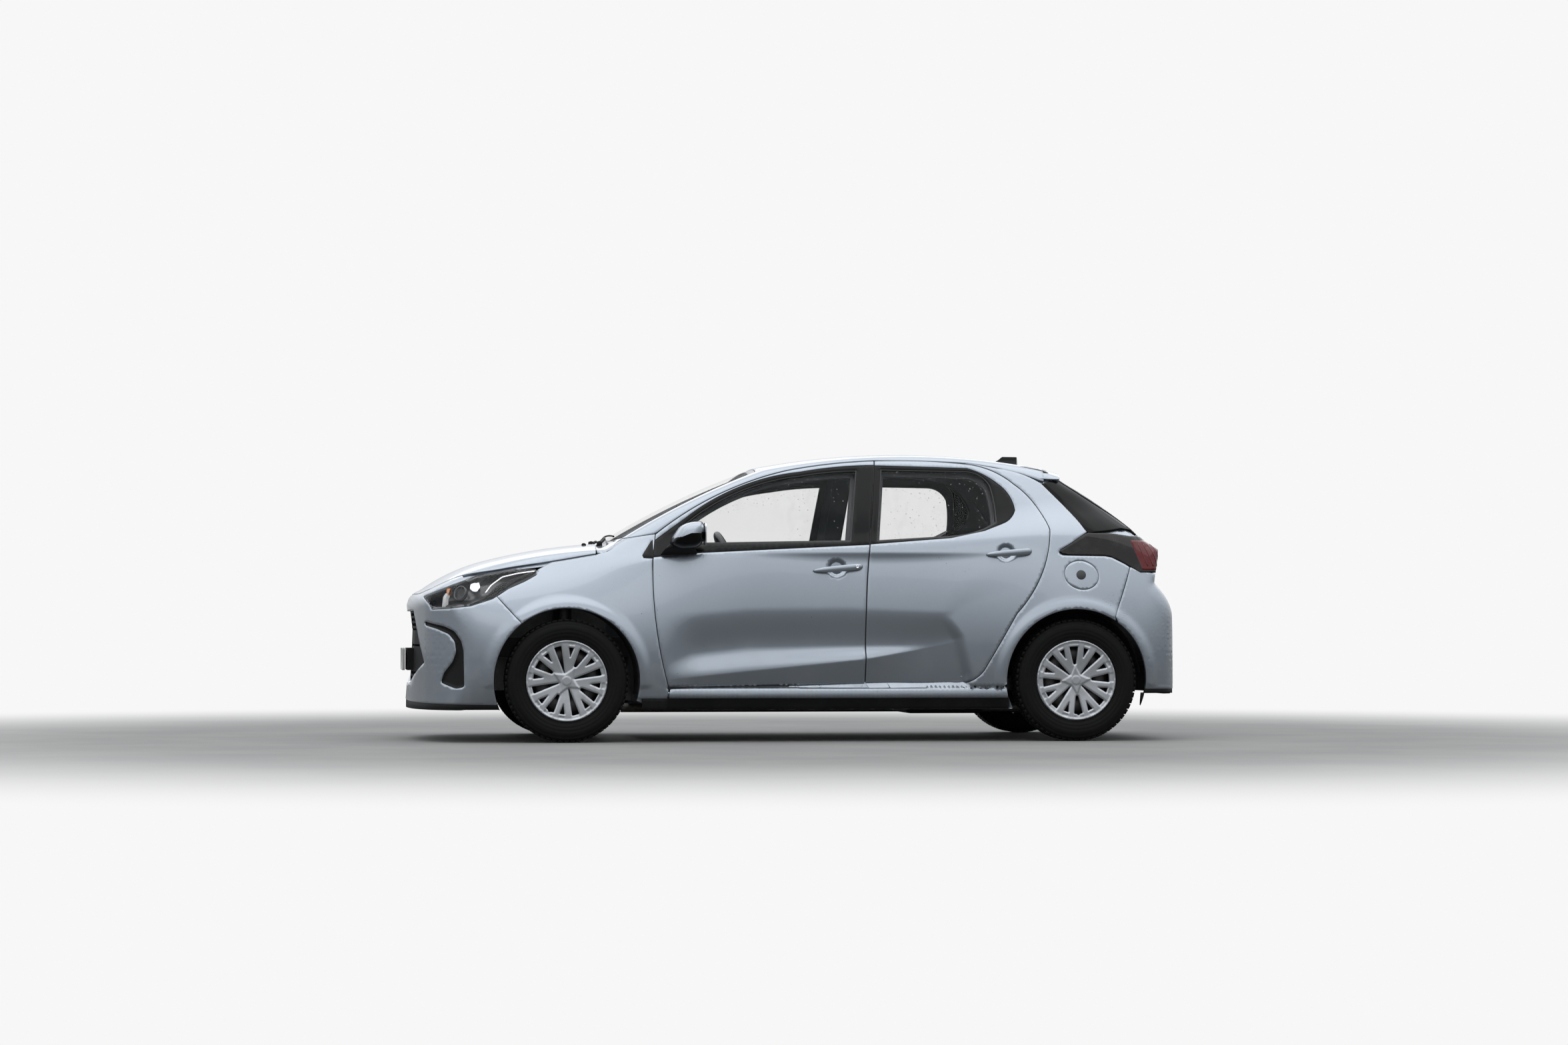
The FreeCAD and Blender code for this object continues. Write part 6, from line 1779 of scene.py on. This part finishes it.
WET = {"front_door": (rounded([
    (0.66, 1.115), (1.18, 1.325), (1.3, 1.345), (1.3, 1.25), (0.9, 1.18)], 0.02, 3),
    rounded([(1.31, 1.01), (1.33, 1.345), (1.465, 1.355), (1.418, 1.01)], 0.02, 3)),
       "rear_door": (rounded([
           (1.61, 1.29), (1.625, 1.362), (2.04, 1.355), (2.14, 1.29), (2.16, 1.12), (2.08, 1.062),
           (2.06, 1.25), (1.9, 1.3)], 0.02, 3),
    rounded([(1.57, 1.012), (1.59, 1.27), (2.04, 1.23), (2.05, 1.06), (1.9, 1.03)],
    0.02, 3))}
for name, (wet, damp) in WET.items():
    parts = [evaluated(drop_tree, pane_part(wet), Density=2600.0, Seed=5),
             evaluated(drop_tree, pane_part(damp), Density=700.0, Seed=8)]
    part = joined(*parts)
    add_pair(f"{name}_drops", part, "water", (f"{name}_left", f"{name}_right"))
    print(name, "has", len(part[1]), "faces of drops")

# %% [markdown]
# ## Finishes of the solids that stay
# The plain mechanical solids below and inside the car have the right shape already. Each gets a finish of
# its own: coated iron, bare or rusty steel, grained plastic, carpet-like liners and a wheel rim in leather.

# %% Finishes for carried-over solids
def worn_metal(name, dark, light, rust, amount):
    g = Graph(name, Metallic=0.5)
    patch = g.noise(7.0, 6.0, 0.65).ramp(0.62 - amount, 0.78)
    grain = g.noise(150.0, 4.0)
    g.feed(Base_Color=g.mix(patch, g.mix(grain, dark, light), rust),
           Roughness=0.45 + patch * 0.35 + grain * 0.1)
    return g.bump(grain, 0.0008, 0.5).material


MATERIALS["coated"] = worn_metal("coated_metal", (0.02, 0.02, 0.021), (0.042, 0.041, 0.04),
                                 (0.075, 0.055, 0.042), 0.04)
MATERIALS["exhaust"] = worn_metal("exhaust_steel", (0.16, 0.15, 0.14), (0.28, 0.27, 0.26),
                                  (0.16, 0.09, 0.055), 0.16)
MATERIALS["casting"] = worn_metal("cast_metal", (0.13, 0.13, 0.13), (0.24, 0.24, 0.235), (0.13, 0.1, 0.075),
                                  0.08)
MATERIALS["liner"] = plain("liner_felt", (0.012, 0.012, 0.012), (0.03, 0.03, 0.029), 0.9, 0.1, 240.0, 0.002)
MATERIALS["leather"] = plain("rim_leather", (0.016, 0.016, 0.017), (0.032, 0.032, 0.034), 0.42, 0.15, 480.0,
                             0.0007, Coat_Weight=0.1)
KEPT = {"coated": ("floor_pan", "front_frame", "front_subframe", "rear_axle_beam"), "exhaust": ("exhaust",),
        "casting": ("engine_block", "knuckle_left", "knuckle_right"), "steel": ("radiator",),
        "liner": ("wheel_liners",), "leather": ("steering_wheel",), "cabin": ("dashboard", "steering_column"),
        "black_trim": ("grille",)}
for finish_name, nodes in KEPT.items():
    for name in nodes:
        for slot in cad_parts[name].material_slots:
            slot.material = MATERIALS[finish_name]
print("kept solids:", sum(len(nodes) for nodes in KEPT.values()))

# %% [markdown]
# ## Light and floor
# Wide soft lamps overhead and at the sides stand for an overcast sky, which is what gives silver paint its
# slow gradients. Mirrored rays see a sky that grows brighter upwards. The floor is grey below the car and
# fades to white away from it, for the camera's eye only.

# %% Light and floor
def soft_lamp(name, place, target, size, power):
    data = bpy.data.lights.new(name, "AREA")
    data.shape, data.size, data.size_y, data.energy = "RECTANGLE", size[0], size[1], power
    lamp = bpy.data.objects.new(name, data)
    lamp.location = place
    lamp.rotation_euler = (Vector(target) - Vector(place)).to_track_quat("-Z", "Y").to_euler()
    bpy.context.collection.objects.link(lamp)


soft_lamp("overhead", (0.0, -1.0, 6.5), (0, 0, 0.5), (14.0, 8.0), 430.0)
soft_lamp("side", (-1.0, -9.0, 5.0), (0, 0, 0.7), (10.0, 3.0), 45.0)
soft_lamp("ahead", (-8.0, -3.0, 3.5), (0, 0, 0.7), (5.0, 3.0), 25.0)
soft_lamp("far_side", (1.5, 8.0, 4.0), (0, 0, 0.7), (8.0, 3.0), 40.0)

floor_graph = Graph("pale_floor", Roughness=0.85)
shade = floor_graph.noise(1.2, 5.0).ramp(0.3, 0.7)
floor_graph.feed(Base_Color=floor_graph.mix(shade, (0.26, 0.26, 0.26), (0.31, 0.31, 0.3)))
seen = floor_graph.node("ShaderNodeLightPath", output="Is Camera Ray")
far = floor_graph.node("ShaderNodeVectorMath", {"operation": "LENGTH"}, [floor_graph.place],
                       output="Value").ramp(3.0, 8.0)
glow = floor_graph.node("ShaderNodeEmission", {}, {"Color": (0.93, 0.93, 0.93, 1.0), "Strength": 1.0})
blend = floor_graph.node("ShaderNodeMixShader", {},
                         {0: seen * far, 1: Wire(floor_graph, floor_graph.shader.outputs[0]), 2: glow})
floor_graph.links.new(blend.socket, floor_graph.material_output.inputs["Surface"])
mesh = bpy.data.meshes.new("floor")
mesh.from_pydata([(-60, -60, 0), (60, -60, 0), (60, 60, 0), (-60, 60, 0)], [], [(0, 1, 2, 3)])
mesh.materials.append(floor_graph.material)
floor = bpy.data.objects.new("floor", mesh)
bpy.context.collection.objects.link(floor)

world = bpy.data.worlds.new("soft_sky")
world.use_nodes = True
bpy.context.scene.world = world
sky_nodes, sky_links = world.node_tree.nodes, world.node_tree.links
sky = sky_nodes["Background"]
sky.inputs["Color"].default_value = (0.82, 0.85, 0.88, 1)
sky.inputs["Strength"].default_value = 0.34
white, mirrored_sky, direction, axes, rise, ray, either, first_mix, last_mix = (
    sky_nodes.new(f"ShaderNode{kind}")
    for kind in ("Background", "Background", "TexCoord", "SeparateXYZ", "MapRange", "LightPath", "Math",
                 "MixShader", "MixShader"))
white.inputs["Color"].default_value = (0.93, 0.93, 0.93, 1)
mirrored_sky.inputs["Color"].default_value = (0.93, 0.96, 1.0, 1)
for socket, value in (("From Min", -0.02), ("From Max", 0.4), ("To Min", 0.46), ("To Max", 1.7)):
    rise.inputs[socket].default_value = value
either.operation, either.use_clamp = "ADD", True
for source, output, target, entry in (
    (direction, "Generated", axes, 0), (axes, "Z", rise, "Value"), (rise, 0, mirrored_sky, "Strength"),
    (ray, "Is Camera Ray", either, 0), (ray, "Is Transmission Ray", either, 1),
    (ray, "Is Glossy Ray", first_mix, 0), (sky, 0, first_mix, 1), (mirrored_sky, 0, first_mix, 2),
    (either, 0, last_mix, 0), (first_mix, 0, last_mix, 1), (white, 0, last_mix, 2),
    (last_mix, 0, sky_nodes["World Output"], "Surface")):
    sky_links.new(source.outputs[output], target.inputs[entry])
bpy.context.scene.view_settings.view_transform = "Standard"
print("lamps, floor and sky ready")
